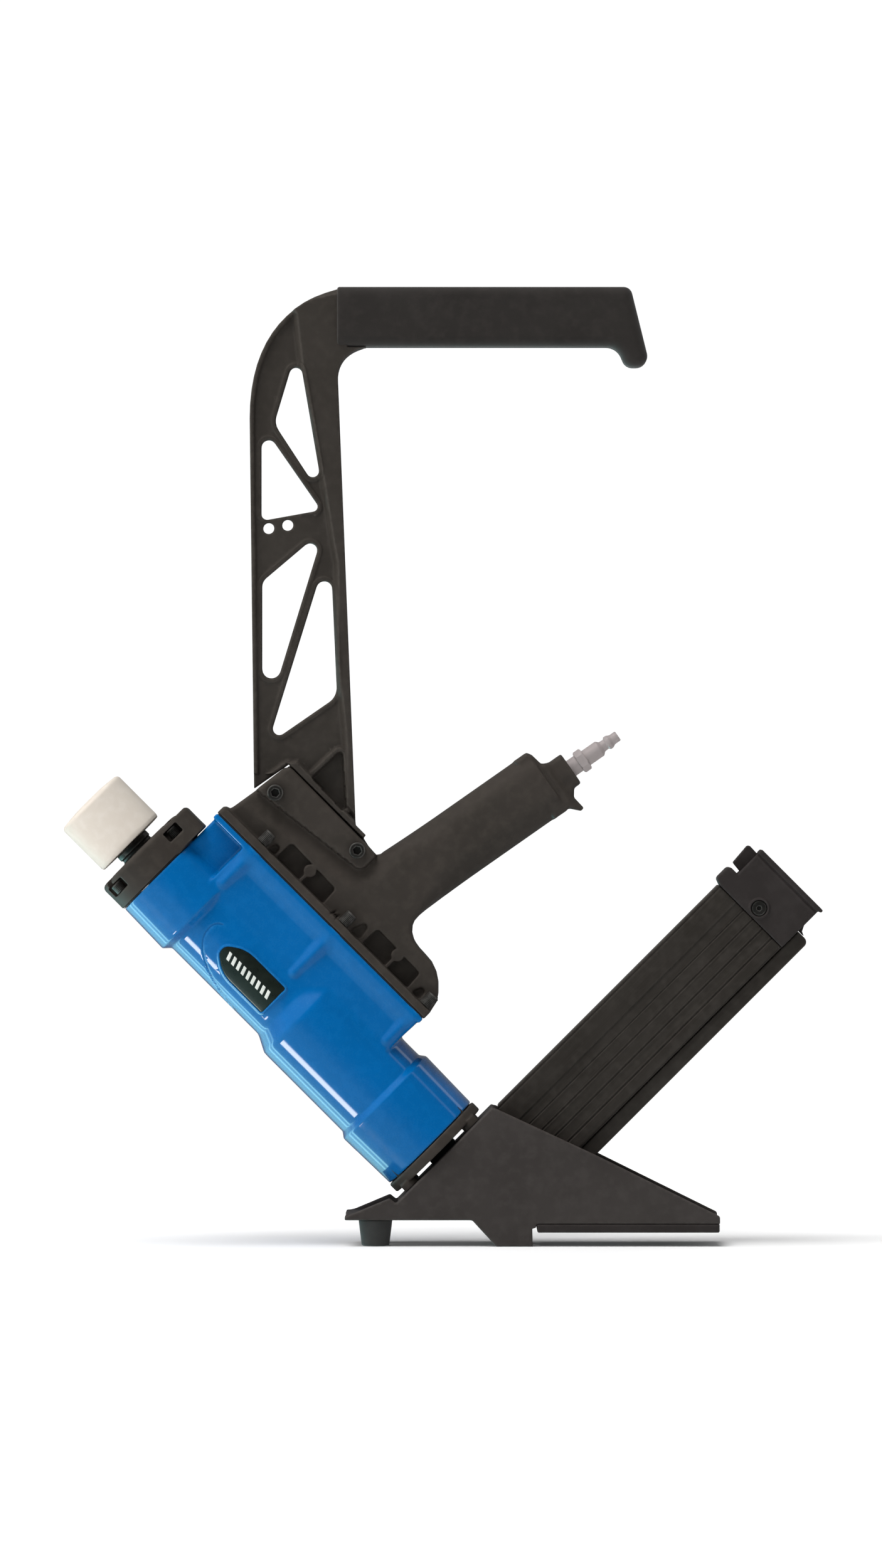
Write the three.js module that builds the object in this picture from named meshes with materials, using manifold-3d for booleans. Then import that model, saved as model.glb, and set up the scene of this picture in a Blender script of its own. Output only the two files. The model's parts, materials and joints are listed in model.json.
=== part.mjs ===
// A pneumatic flooring nailer: a mallet-struck barrel leaning at 45 degrees over a low shoe, a slanted
// magazine, a hand grip with an air plug, and a tall offset handle.
//
// Frames. The tool group has its origin on the floor where the fastener leaves the nose, +X towards the
// magazine and +Z up. The barrel group inside it has local Z up the driving axis and local X towards the grip
// and the magazine. The grip group inside that has local X along the grip. Y runs across the tool in all.
// A side outline is drawn in X and Z of its frame.
import * as THREE from "three";
import { mergeVertices } from "three/addons/utils/BufferGeometryUtils.js";
import Module from "manifold-3d";

const wasm = await Module();
wasm.setup();

// ---- Driving dimensions, in millimetres and degrees ----
const LEAN = 45; // the driving axis from the vertical
const GRIP_DROP = 10; // the grip's axis below the square to the driving axis
const NOSE_TO_CENTRE = 61.65; // from the fastener's exit back to the middle of the tool's length
const GAP = 0.3; // between faces that touch

const BARREL = {
  low: 98, lowRadius: 40, lowTop: 142, midRadius: 37, midTop: 222,
  neckLow: 235, neckRadius: 30.7, neckTop: 318, headLow: 324, headRadius: 35, top: 359.1,
};
const CHAMBER = { radius: 31, top: 140 };
const MID_BORE = { radius: 30.3, top: 226 };
const SPRING_SEAT = { radius: 16, top: 233 };
const UPPER_BORE = 24;
const BOSS = { radius: 5.3, low: 18, lowest: 171 };
const BOX = { low: 163.5, top: 359.1, face: 57, half: 29, lipLow: 162, lipTop: 360.5, lipDeep: 4, lipHalf: 34 };
const SLEEVE = { low: 98.2, top: 204, outer: 30, inner: 27.2 };
const BUMPER_TOP = 112;
const PISTON = { low: 186.3, top: 202, radius: 26.9 };
const BLADE = { tip: 80, top: 197.5, thick: 3, wide: 8 };
const HEAD_VALVE = { low: 204.5, top: 214, radius: 29.9, hubRadius: 10, hubTop: 226 };
const NOSE_FLANGE = { low: 89.5, top: 97.5, radius: 40 };
const CAP = {
  low: 360.2, top: 380.5, radius: 35.5, reach: 44.5, reachHalf: 28, edge: 3, seat: 369, pocket: 6,
};
const STEM = { radius: 13.5, low: 377, top: 387.9, rodRadius: 5, rodLow: 252 };
const STRIKE = { low: 388.2, radius: 26.6, rim: 428.2, crown: 429.7, flat: 14, edge: 2.5 };
const NOSE_GUIDE = { back: 9, front: 13, half: 10, low: 79.2, top: 97.6 };
const FLANGE = { low: 58.2, top: 64, half: 34 };
const NECK_HALF = 22;
const GRIP = { top: 277.5, bottom: 229.8, half: 19, end: 190, axis: 251.3 };
const BRACKET = { half: 20, slotHalf: 6.3, boltHeight: [275, 342.5], boltReach: [106.5, 94.8] };
const ARM = { webHalf: 6, railHalf: 13 };
const TOP_GRIP = { left: -133, low: 614.5, high: 655.5, half: 16, edge: 7 };
const TOP_BAR = { low: 624, high: 646, half: 8, end: 56 };
const SHOE = { half: 35, wall: 4, sole: 9.3, floor: 15.3, floorThick: 4 };
const TRACK = {
  low: 12.3, top: 22.5, start: 18, end: 280, half: 11, ribIn: 4, ribOut: 7.5, ribTop: 75, ribEnd: 262,
};
const SHELL = { low: 22.8, top: 84, start: 4, end: 264.5, half: 14, wall: 2.7, roof: 4 };
const END_CAP = {
  start: 265.6, end: 302.5, low: 23, top: 79.8, half: 16, screwX: 272.8, screwZ: 52.8, screwSeat: -13.5,
};
const PUSHER_ROLL = { radius: 8.2, half: 3.4, at: [24, 0, 48] };
const LATCH = { pivotX: 291, pivotZ: 50, half: 6, pinRadius: 2 };
const CLEAR = 60; // past the sides of any piece, for cuts that go right through

// Socket-head screws: the head's radius and height, the shank's radius and length, and the socket's radius.
const SCREWS = {
  nose: { head: 5, tall: 5, shank: 3, long: 28, socket: 2.3 },
  cap: { head: 4, tall: 6.5, shank: 2.5, long: 24, socket: 2 },
  flange: { head: 4.2, tall: 8, shank: 2.5, long: 22, socket: 2.2 },
  handle: { head: 5.6, tall: 5, shank: 4, long: 46, socket: 3 },
  sole: { head: 4, tall: 1.9, shank: 2, long: 9, socket: 1.6 },
  foot: { head: 5, tall: 3.5, shank: 2.5, long: 18, socket: 2 },
  endCap: { head: 5.3, tall: 2.5, shank: 3, long: 24, socket: 1.7 },
};
const NUT = { radius: 7.2, tall: 6.5 };

// ---- Materials ----
function material(colour, roughness, metalness) {
  return new THREE.MeshStandardMaterial({ color: colour, roughness, metalness });
}
const BLUE_PAINT = material(0x0062aa, 0.28, 0.1);
const BLACK_CASTING = material(0x3d3a38, 0.6, 0.3);
const BLACK_ANODISED = material(0x38342f, 0.45, 0.6);
const BLACK_STEEL = material(0x42403e, 0.55, 0.5);
const BLACK_PLASTIC = material(0x2e2c2b, 0.6, 0);
const BLACK_RUBBER = material(0x2a2a2b, 0.9, 0);
const WHITE_RUBBER = material(0xe4ddd2, 0.6, 0);
const STEEL = material(0xb9b0b0, 0.3, 0.9);
const DARK_STEEL = material(0x4a4a4c, 0.4, 0.9);
const SPRING_STEEL = material(0x8c8c90, 0.35, 0.9);
const BADGE = material(0x1d2420, 0.4, 0);

// ---- Solids: closed three.js geometries, joined and cut ----
function solid(geometry) {
  const bare = new THREE.BufferGeometry();
  const flat = geometry.index ? geometry.toNonIndexed() : geometry;
  bare.setAttribute("position", flat.getAttribute("position"));
  const merged = mergeVertices(bare, 1e-4);
  const corners = Array.from(merged.index.array);
  const kept = [];
  for (let i = 0; i < corners.length; i += 3) {
    const [a, b, c] = corners.slice(i, i + 3);
    if (a !== b && b !== c && c !== a) kept.push(a, b, c);
  }
  const vertProperties = merged.attributes.position.array;
  return new wasm.Manifold(new wasm.Mesh({ numProp: 3, vertProperties, triVerts: new Uint32Array(kept) }));
}

function join(first, ...others) {
  return others.reduce((sum, other) => sum.add(other), first);
}

function cut(body, ...tools) {
  return tools.reduce((left, tool) => left.subtract(tool), body);
}

function geometryOf(body) {
  const shape = body.getMesh();
  const geometry = new THREE.BufferGeometry();
  geometry.setAttribute("position", new THREE.BufferAttribute(new Float32Array(shape.vertProperties), 3));
  geometry.setIndex(new THREE.BufferAttribute(new Uint32Array(shape.triVerts), 1));
  geometry.computeVertexNormals();
  return geometry;
}

function add(group, name, body, finish) {
  const mesh = new THREE.Mesh(geometryOf(body), finish);
  mesh.name = name;
  group.add(mesh);
  return mesh;
}

// A closed path through corners [x, z, radius]; a corner with a radius is rounded by an arc.
function outline(corners) {
  const path = new THREE.Shape();
  corners.forEach(([x, z, radius = 0], i) => {
    const corner = new THREE.Vector2(x, z);
    const before = new THREE.Vector2(...corners.at(i - 1).slice(0, 2)).sub(corner).normalize();
    const after = new THREE.Vector2(...corners[(i + 1) % corners.length].slice(0, 2)).sub(corner).normalize();
    if (radius === 0) {
      if (i === 0) path.moveTo(x, z);
      else path.lineTo(x, z);
      return;
    }
    const half = Math.acos(THREE.MathUtils.clamp(before.dot(after), -1, 1)) / 2;
    const start = corner.clone().addScaledVector(before, radius / Math.tan(half));
    const end = corner.clone().addScaledVector(after, radius / Math.tan(half));
    const centre = corner.clone().addScaledVector(before.add(after).normalize(), radius / Math.sin(half));
    const from = start.clone().sub(centre);
    const to = end.clone().sub(centre);
    if (i === 0) path.moveTo(start.x, start.y);
    else path.lineTo(start.x, start.y);
    path.absarc(centre.x, centre.y, radius, from.angle(), to.angle(), from.cross(to) < 0);
  });
  path.closePath();
  return path;
}

// A side outline given thickness along Y, from y = low to y = high.
function slab(shape, low, high, curves = 2) {
  const options = { depth: high - low, curveSegments: curves, bevelEnabled: false };
  const geometry = new THREE.ExtrudeGeometry(shape, options);
  geometry.translate(0, 0, -high);
  geometry.rotateX(Math.PI / 2);
  return solid(geometry);
}

function plate(corners, half, curves) {
  return slab(outline(corners), -half, half, curves);
}

// A plan outline, drawn in X and Y, given height along Z.
function tile(corners, low, high, curves = 2) {
  const geometry = new THREE.ExtrudeGeometry(outline(corners), {
    depth: high - low, curveSegments: curves, bevelEnabled: false,
  });
  geometry.translate(0, 0, low);
  return solid(geometry);
}

// A cross-section, drawn in Y and Z, given length along X.
function bar(corners, low, high, curves = 2) {
  const geometry = new THREE.ExtrudeGeometry(outline(corners), {
    depth: high - low, curveSegments: curves, bevelEnabled: false,
  });
  geometry.translate(0, 0, low);
  geometry.rotateY(Math.PI / 2);
  geometry.rotateX(Math.PI / 2);
  return solid(geometry);
}

function block([x0, x1], [y0, y1], [z0, z1]) {
  const geometry = new THREE.BoxGeometry(x1 - x0, y1 - y0, z1 - z0);
  geometry.translate((x0 + x1) / 2, (y0 + y1) / 2, (z0 + z1) / 2);
  return solid(geometry);
}

function rectangle(low, high, half, radius = 0) {
  return [[-half, low, radius], [half, low, radius], [half, high, radius], [-half, high, radius]];
}

// A solid of revolution about Z from a closed profile of [radius, height] points.
function turned(profile, sides = 24) {
  const points = profile.map(([radius, height]) => new THREE.Vector2(radius, height));
  if (THREE.ShapeUtils.area(points) < 0) points.reverse();
  const first = points.findIndex((p, i) => p.x === 0 && points.at(i - 1).x === 0);
  const ordered = first < 0 ? points : [...points.slice(first), ...points.slice(0, first)];
  if (first < 0) ordered.push(ordered[0].clone());
  const geometry = new THREE.LatheGeometry(ordered, sides);
  geometry.rotateX(Math.PI / 2);
  return solid(geometry);
}

function ring(inner, outer, low, high, sides = 24) {
  return turned([[inner, low], [outer, low], [outer, high], [inner, high]], sides);
}

// A rod along one axis, from low to high, through the point at.
function rod(axis, radius, low, high, at = [0, 0, 0], sides = 12) {
  const geometry = new THREE.CylinderGeometry(radius, radius, high - low, sides);
  geometry.translate(0, (low + high) / 2, 0);
  if (axis === "x") geometry.rotateZ(-Math.PI / 2);
  if (axis === "z") geometry.rotateX(Math.PI / 2);
  geometry.translate(...at);
  return solid(geometry);
}

// A round-wire compression spring along Z, its end coils lying inside low and high.
function spring(radius, wire, low, high, turns) {
  const steps = Math.ceil(turns * 8);
  const points = [];
  for (let i = 0; i <= steps; i += 1) {
    const angle = (i / steps) * turns * 2 * Math.PI;
    const height = THREE.MathUtils.lerp(low + wire, high - wire, i / steps);
    points.push(new THREE.Vector3(radius * Math.cos(angle), radius * Math.sin(angle), height));
  }
  const section = new THREE.Shape();
  section.absarc(0, 0, wire, 0, 2 * Math.PI);
  const path = new THREE.CatmullRomCurve3(points);
  const geometry = new THREE.ExtrudeGeometry(section, { extrudePath: path, steps, curveSegments: 2 });
  return solid(geometry);
}

// A socket-head screw along Z: the head stands on z = 0 and the shank hangs below it.
function socketScrew(kind) {
  const s = SCREWS[kind];
  const head = rod("z", s.head, 0, s.tall);
  const shank = rod("z", s.shank, -s.long, 0.5, [0, 0, 0], 8);
  const socket = rod("z", s.socket, s.tall * 0.4, s.tall + 1, [0, 0, 0], 6);
  return cut(join(head, shank), socket);
}

// The rods that cut clearance holes for one kind of screw, along Z at each [x, y] place.
function screwHoles(kind, places, low, high) {
  return places.map(([x, y]) => rod("z", SCREWS[kind].shank + GAP, low, high, [x, y, 0], 8));
}

function signs() {
  return [[1, 1], [1, -1], [-1, 1], [-1, -1]];
}

// ---- Groups ----
const nailer = new THREE.Group();
const tool = new THREE.Group();
tool.position.x = NOSE_TO_CENTRE;
nailer.add(tool);
const barrel = new THREE.Group();
barrel.rotation.y = THREE.MathUtils.degToRad(-LEAN);
tool.add(barrel);
const grip = new THREE.Group();
grip.rotation.y = THREE.MathUtils.degToRad(GRIP_DROP);
barrel.add(grip);

// A point of the barrel frame, given along the grip and square to it.
function fromGrip(along, square) {
  const drop = THREE.MathUtils.degToRad(GRIP_DROP);
  const x = along * Math.cos(drop) + square * Math.sin(drop);
  const z = square * Math.cos(drop) - along * Math.sin(drop);
  return [x, z];
}

// A solid made in the grip's frame, moved to the barrel's.
function gripToBarrel(body) {
  const geometry = geometryOf(body);
  geometry.rotateY(THREE.MathUtils.degToRad(GRIP_DROP));
  return solid(geometry);
}

// A solid made in the barrel's frame, moved to the tool's.
function barrelToTool(body) {
  const geometry = geometryOf(body);
  geometry.rotateY(THREE.MathUtils.degToRad(-LEAN));
  return solid(geometry);
}

// ---- The barrel and what it holds ----
const NOSE_BOLTS = signs().map(([sx, sy]) => [28.75 * sx, 22 * sy]);
const CAP_BOLTS = signs().map(([sx, sy]) => [26.5 * sx, 17 * sy]);
const FLANGE_BOLT_HEIGHTS = [168, 246.5, 324.5];
const FLANGE_BOLT_SIDE = 28.5;

function eachFlangeBolt(make) {
  return FLANGE_BOLT_HEIGHTS.flatMap((height) => [1, -1].map((side) => make(height, side * FLANGE_BOLT_SIDE)));
}

function flangeHoles(low, high) {
  const radius = SCREWS.flange.shank + GAP;
  return eachFlangeBolt((height, y) => rod("x", radius, low, high, [0, y, height], 8));
}

function shoulderProfile() {
  const points = [];
  const steps = 6;
  for (let i = 0; i <= steps; i += 1) {
    const t = i / steps;
    const ease = t * t * (3 - 2 * t);
    points.push([
      THREE.MathUtils.lerp(BARREL.midRadius, BARREL.neckRadius, ease),
      THREE.MathUtils.lerp(BARREL.midTop, BARREL.neckLow, t),
    ]);
  }
  return points;
}

function housing() {
  const b = BARREL;
  const skin = turned([
    [0, b.low], [b.lowRadius, b.low], [b.lowRadius, b.lowTop], [b.midRadius, b.lowTop + 4],
    ...shoulderProfile(), [b.neckRadius, b.neckTop], [b.headRadius, b.headLow], [b.headRadius, b.top],
    [0, b.top],
  ], 32);
  const box = block([0, BOX.face], [-BOX.half, BOX.half], [BOX.low, BOX.top]);
  const lip = block([BOX.face - BOX.lipDeep, BOX.face], [-BOX.lipHalf, BOX.lipHalf], [BOX.lipLow, BOX.lipTop]);
  const ribs = eachFlangeBolt((height, y) => (
    rod("x", BOSS.radius, BOSS.low, BOX.face - 1, [0, y, Math.max(height, BOSS.lowest)], 12)
  ));
  const bore = turned([
    [0, b.low - 1], [CHAMBER.radius, b.low - 1], [CHAMBER.radius, CHAMBER.top],
    [MID_BORE.radius, CHAMBER.top], [MID_BORE.radius, MID_BORE.top],
    [UPPER_BORE, MID_BORE.top + 4], [SPRING_SEAT.radius, MID_BORE.top + 4],
    [SPRING_SEAT.radius, SPRING_SEAT.top], [UPPER_BORE, SPRING_SEAT.top],
    [UPPER_BORE, b.top + 1], [0, b.top + 1],
  ]);
  const reservoir = block([33.5, BOX.face + 1], [-20, 20], [172, 350]);
  const port = rod("x", 6, 15, 40, [0, 0, 216]);
  const threads = [
    ...screwHoles("nose", NOSE_BOLTS, b.low - 1, 113),
    ...screwHoles("cap", CAP_BOLTS, 344, b.top + 1),
    ...flangeHoles(38, BOX.face + 1),
  ];
  return cut(join(skin, box, lip, ...ribs), bore, reservoir, port, ...threads);
}

// The badge plate stands on the barrel's neck, square at one end and a rounded point at the other.
function badge() {
  const shape = [[5, 243, 1], [5, 280, 26], [-6, 296, 6], [-18, 280, 26], [-18, 243, 1]];
  const back = BARREL.neckRadius + GAP;
  const bent = ring(back, back + 1.1, BARREL.neckLow, BARREL.neckTop, 48);
  const side = block([-CLEAR, CLEAR], [-CLEAR, 0], [BARREL.neckLow, BARREL.neckTop]);
  return plate(shape, CLEAR, 3).intersect(bent).intersect(side);
}

function piston() {
  const p = PISTON;
  const body = turned([
    [0, p.low], [p.radius, p.low], [p.radius, 191], [23.5, 191], [23.5, 195.4], [p.radius, 195.4],
    [p.radius, p.top - 1], [p.radius - 1, p.top], [0, p.top],
  ]);
  const thick = BLADE.thick / 2 + GAP;
  const wide = BLADE.wide / 2 + GAP;
  return cut(body, block([-thick, thick], [-wide, wide], [p.low - 1, BLADE.top + 0.5]));
}

function driverBlade() {
  const thick = BLADE.thick / 2;
  const wide = BLADE.wide / 2;
  return block([-thick, thick], [-wide, wide], [BLADE.tip, BLADE.top]);
}

function headValve() {
  const v = HEAD_VALVE;
  return turned([
    [6.5, v.low], [v.radius, v.low], [v.radius, v.low + 5], [24, v.top - 2], [v.hubRadius, v.top - 2],
    [v.hubRadius, v.hubTop], [6.5, v.hubTop],
  ]);
}

function noseFlange() {
  const n = NOSE_FLANGE;
  const disc = turned([
    [0, n.low], [n.radius - 1.5, n.low], [n.radius, n.low + 1.5], [n.radius, n.top - 1], [n.radius - 1, n.top],
    [0, n.top],
  ], 32);
  const spacers = NOSE_BOLTS.map(([x, y]) => rod("z", 6.2, 87.2, n.low + 0.5, [x, y, 0]));
  const holes = screwHoles("nose", NOSE_BOLTS, 80, n.top + 1);
  return cut(join(disc, ...spacers), ...holes, guidePassage(80, n.top + 1));
}

// The room that the nose guide's upper block takes up.
function guidePassage(low, high) {
  const { back, front, half } = NOSE_GUIDE;
  return block([-back - GAP, front + GAP], [-half - GAP, half + GAP], [low, high]);
}

function cylinderCap() {
  const c = CAP;
  const e = c.edge;
  const round = turned([
    [0, c.low], [c.radius, c.low], [c.radius, c.top - e], [c.radius - e * 0.3, c.top - e * 0.3],
    [c.radius - e, c.top], [0, c.top],
  ], 32);
  const reach = tile([
    [0, -c.reachHalf], [c.reach, -c.reachHalf, 5], [c.reach, c.reachHalf, 5], [0, c.reachHalf],
  ], c.low, c.top);
  const roof = plate([
    [-CLEAR, c.low - 1], [c.reach, c.low - 1], [c.reach, c.top, 4], [-CLEAR, c.top],
  ], CLEAR);
  const pockets = CAP_BOLTS.map(([x, y]) => block(
    [x - c.pocket, x + c.pocket], y > 0 ? [y - c.pocket, CLEAR] : [-CLEAR, y + c.pocket], [c.seat, c.top + 1],
  ));
  const holes = screwHoles("cap", CAP_BOLTS, c.low - 1, c.seat + 1);
  const bore = rod("z", STEM.radius + GAP, 366, c.top + 1, [0, 0, 0], 24);
  const rodHole = rod("z", STEM.rodRadius + GAP, c.low - 1, 367);
  return cut(join(round, reach).intersect(roof), ...pockets, ...holes, bore, rodHole);
}

function plungerStem() {
  const s = STEM;
  return turned([
    [0, s.rodLow], [s.rodRadius, s.rodLow], [s.rodRadius, s.low], [s.radius, s.low], [s.radius, s.top],
    [7.5, s.top], [7.5, 404], [0, 404],
  ]);
}

function firingValve() {
  const low = 244;
  const body = turned([[0, low], [12, low + 1], [12, low + 5], [8.5, low + 7], [8.5, 262], [0, 262]], 24);
  return cut(body, rod("z", STEM.rodRadius + GAP, STEM.rodLow - GAP, 263));
}

function strikeCap() {
  const s = STRIKE;
  const e = s.edge;
  const body = turned([
    [0, s.low], [s.radius - 1, s.low], [s.radius, s.low + 1], [s.radius, s.rim - e],
    [s.radius - e * 0.3, s.rim - e * 0.3], [s.radius - e, s.rim], [s.flat, s.crown], [0, s.crown],
  ], 32);
  return cut(body, rod("z", 7.8, s.low - 1, 404.5, [0, 0, 0], 24));
}

function buildBarrel() {
  add(barrel, "body_housing", housing(), BLUE_PAINT);
  add(barrel, "badge_plate", badge(), BADGE);
  add(barrel, "cylinder_sleeve", ring(SLEEVE.inner, SLEEVE.outer, SLEEVE.low, SLEEVE.top), STEEL);
  add(barrel, "bumper", ring(7, SLEEVE.inner - GAP, SLEEVE.low, BUMPER_TOP), BLACK_RUBBER);
  add(barrel, "main_piston", piston(), STEEL);
  add(barrel, "piston_seal", ring(23.8, SLEEVE.inner - GAP, 191.3, 195.1), BLACK_RUBBER);
  add(barrel, "driver_blade", driverBlade(), STEEL);
  add(barrel, "head_valve", headValve(), BLACK_PLASTIC);
  add(barrel, "head_valve_spring", spring(21, 1.1, 212.4, 229.5, 3), SPRING_STEEL);
  add(barrel, "nose_flange", noseFlange(), BLACK_CASTING);
  NOSE_BOLTS.forEach(([x, y], i) => {
    const bolt = add(barrel, `nose_bolt_${i + 1}`, socketScrew("nose"), DARK_STEEL);
    bolt.position.set(x, y, 82.4);
    bolt.rotation.x = Math.PI;
  });
  const gasket = cut(ring(25, 34.8, 359.4, 359.9), ...screwHoles("cap", CAP_BOLTS, 358, 361));
  add(barrel, "cap_gasket", gasket, BLACK_RUBBER);
  add(barrel, "cylinder_cap", cylinderCap(), BLACK_CASTING);
  CAP_BOLTS.forEach(([x, y], i) => {
    const bolt = add(barrel, `cap_bolt_${i + 1}`, socketScrew("cap"), DARK_STEEL);
    bolt.position.set(x, y, CAP.seat + GAP);
  });
  add(barrel, "plunger_stem", plungerStem(), DARK_STEEL);
  add(barrel, "firing_valve", firingValve(), BLACK_PLASTIC);
  add(barrel, "plunger_spring", spring(9, 0.8, 366.2, 376.8, 3), SPRING_STEEL);
  add(barrel, "strike_cap", strikeCap(), WHITE_RUBBER);
}

// ---- The handle casting: flange, neck, bracket and hollow grip in one piece ----
// Pockets beside the flange's bolts, each as [low, high] along the barrel and how far out it reaches.
const CASTING_POCKETS = [[184.5, 201, 76.5], [206, 228, 79], [266, 284, 79], [290, 311, 77]];
const POCKET_FLOOR = 13;

function castingOutline() {
  return [
    [FLANGE.low, 162],
    [88.7, 162, 27],
    [88.7, 217.7, 17],
    fromGrip(192, GRIP.bottom),
    fromGrip(192, GRIP.top),
    [113.5, 261.8, 5],
    [114.3, 349.5, 4],
    [89, 353.2],
    [67, 356, 3],
    [64.5, 360.5, 2],
    [FLANGE.low, 360.5],
  ];
}

function handleBoltHoles() {
  const radius = SCREWS.handle.shank + GAP;
  return BRACKET.boltHeight.map((height, i) => (
    rod("y", radius, -CLEAR, CLEAR, [BRACKET.boltReach[i], 0, height], 16)
  ));
}

function gripBody() {
  const section = rectangle(GRIP.bottom, GRIP.top, GRIP.half, 15);
  const shell = bar(section, 48, GRIP.end, 3);
  const neck = plate([
    [189, GRIP.top], [191, GRIP.top - 0.5], [193.5, 266, 3], [199, 262.5, 2], [208.5, 263], [208.5, 239.8],
    [203.5, 239.6, 3], [199.6, 234, 2], [200.5, 224, 0.8], [197, 223.8, 0.8], [192.5, GRIP.bottom, 4],
    [189, GRIP.bottom],
  ], 15);
  const collar = rod("x", 11.7, 188, 208.5, [0, 0, GRIP.axis], 24);
  const shoulder = block([188, 196], [-17, 17], [GRIP.bottom - 10, GRIP.top]);
  const lip = block([188, 204], [-11, 11], [200, 239.9]);
  const end = join(neck.intersect(join(shoulder, lip)), collar);
  const passage = rod("x", 10, 60, 196, [0, 0, GRIP.axis], 20);
  const thread = rod("x", 6.9, 195, 210, [0, 0, GRIP.axis], 20);
  return { shell: join(shell, end), hollow: join(passage, thread) };
}

function handleCasting() {
  const flange = block([FLANGE.low, FLANGE.top], [-FLANGE.half, FLANGE.half], [162, 360.5]);
  const neck = plate(castingOutline(), NECK_HALF, 3);
  const keepNeck = join(
    block([FLANGE.low, 116], [-NECK_HALF, NECK_HALF], [255, 362]),
    block([FLANGE.low, 108], [-NECK_HALF, NECK_HALF], [160, 256]),
  );
  const bracketTrim = [1, -1].map((side) => block(
    [97, 120], side > 0 ? [BRACKET.half, CLEAR] : [-CLEAR, -BRACKET.half], [262, 360],
  ));
  const handle = gripBody();
  const pockets = CASTING_POCKETS.flatMap(([low, high, deep]) => {
    const mouth = outline([[64.4, low, 1.5], [deep, low, 1.5], [deep, high, 1.5], [64.4, high, 1.5]]);
    return [slab(mouth, POCKET_FLOOR, CLEAR, 1), slab(mouth, -CLEAR, -POCKET_FLOOR, 1)];
  });
  const plenum = plate([[50, 172], [80, 186, 8], [82, 250, 8], [76, 345], [50, 345]], 12);
  const slot = block([85, 125], [-BRACKET.slotHalf, BRACKET.slotHalf], [264, 362]);
  const body = join(flange, neck.intersect(keepNeck), gripToBarrel(handle.shell));
  const fitted = body.intersect(block([FLANGE.low, 300], [-CLEAR, CLEAR], [100, 360.5]));
  return cut(
    fitted, gripToBarrel(handle.hollow), plenum, slot, ...handleBoltHoles(), ...flangeHoles(50, 70), ...pockets,
    ...bracketTrim,
  );
}

function airPlug() {
  const hex = rod("z", 8.2, 215.5, 221.5, [0, 0, 0], 6);
  const body = turned([
    [0, 200], [6.4, 200], [6.4, 208], [6.1, 208.8], [6.1, 216], [5.8, 221], [5.8, 233], [4, 234.8], [3.7, 238.5],
    [4.9, 239.2], [4.9, 241.5], [3.7, 248.3], [2, 248.3], [2, 225], [0, 225],
  ], 16);
  const geometry = geometryOf(join(body, hex));
  geometry.rotateY(Math.PI / 2);
  geometry.translate(0, 0, GRIP.axis);
  return solid(geometry);
}

function handleGasket() {
  const window = block([50, 70], [-20, 20], [173, 349]);
  return cut(block([57.3, 57.9], [-33, 33], [163, 359.5]), window, ...flangeHoles(50, 70));
}

function buildHandle() {
  add(barrel, "handle_casting", handleCasting(), BLACK_CASTING);
  add(barrel, "handle_gasket", handleGasket(), BLACK_RUBBER);
  eachFlangeBolt((height, y) => [height, y]).forEach(([height, y], i) => {
    const bolt = add(barrel, `flange_bolt_${i + 1}`, socketScrew("flange"), DARK_STEEL);
    bolt.position.set(FLANGE.top + GAP, y, height);
    bolt.rotation.y = Math.PI / 2;
  });
  add(grip, "air_plug", airPlug(), STEEL);
}

// ---- The tall handle: a windowed cast arm with a bar on top, and the grip that covers the bar ----
function armOutline() {
  const shape = new THREE.Shape();
  shape.moveTo(-190, 312);
  shape.lineTo(-193, 566);
  shape.bezierCurveTo(-193, 614, -171.5, 644, -133.4, 654);
  shape.lineTo(-133.4, TOP_BAR.high);
  shape.lineTo(TOP_BAR.end, TOP_BAR.high);
  shape.lineTo(TOP_BAR.end, TOP_BAR.low);
  shape.lineTo(-133.4, TOP_BAR.low);
  shape.lineTo(-133.4, 614.5);
  shape.lineTo(-113, 614.5);
  shape.bezierCurveTo(-124, 612, -132, 606, -132.7, 594);
  shape.lineTo(-120.5, 287);
  shape.lineTo(-113.5, 280);
  shape.lineTo(-115.5, 277.7);
  shape.lineTo(-166.3, 328.5);
  shape.closePath();
  return shape;
}

// Each window is a triangle with its corners rounded.
const WINDOWS = [
  [[-160.2, 615.8, 4.5], [-142.1, 510, 4.3], [-176.3, 562.3, 12]],
  [[-185, 561.9, 5], [-144, 502.8, 3.5], [-185, 495.4, 4]],
  [[-142, 490, 5], [-184.5, 351.2, 6.4], [-184.5, 454, 8]],
  [[-137.9, 480.4, 5.5], [-133.2, 375, 12], [-180.9, 342.1, 4.5]],
];

function armTongue() {
  const flat = plate([[88, 334], [98, 268, 3], [114, 268, 3], [115, 281], [116, 345], [114, 349], [88.5, 352]],
    ARM.webHalf);
  return barrelToTool(cut(flat, ...handleBoltHoles()));
}

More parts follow.
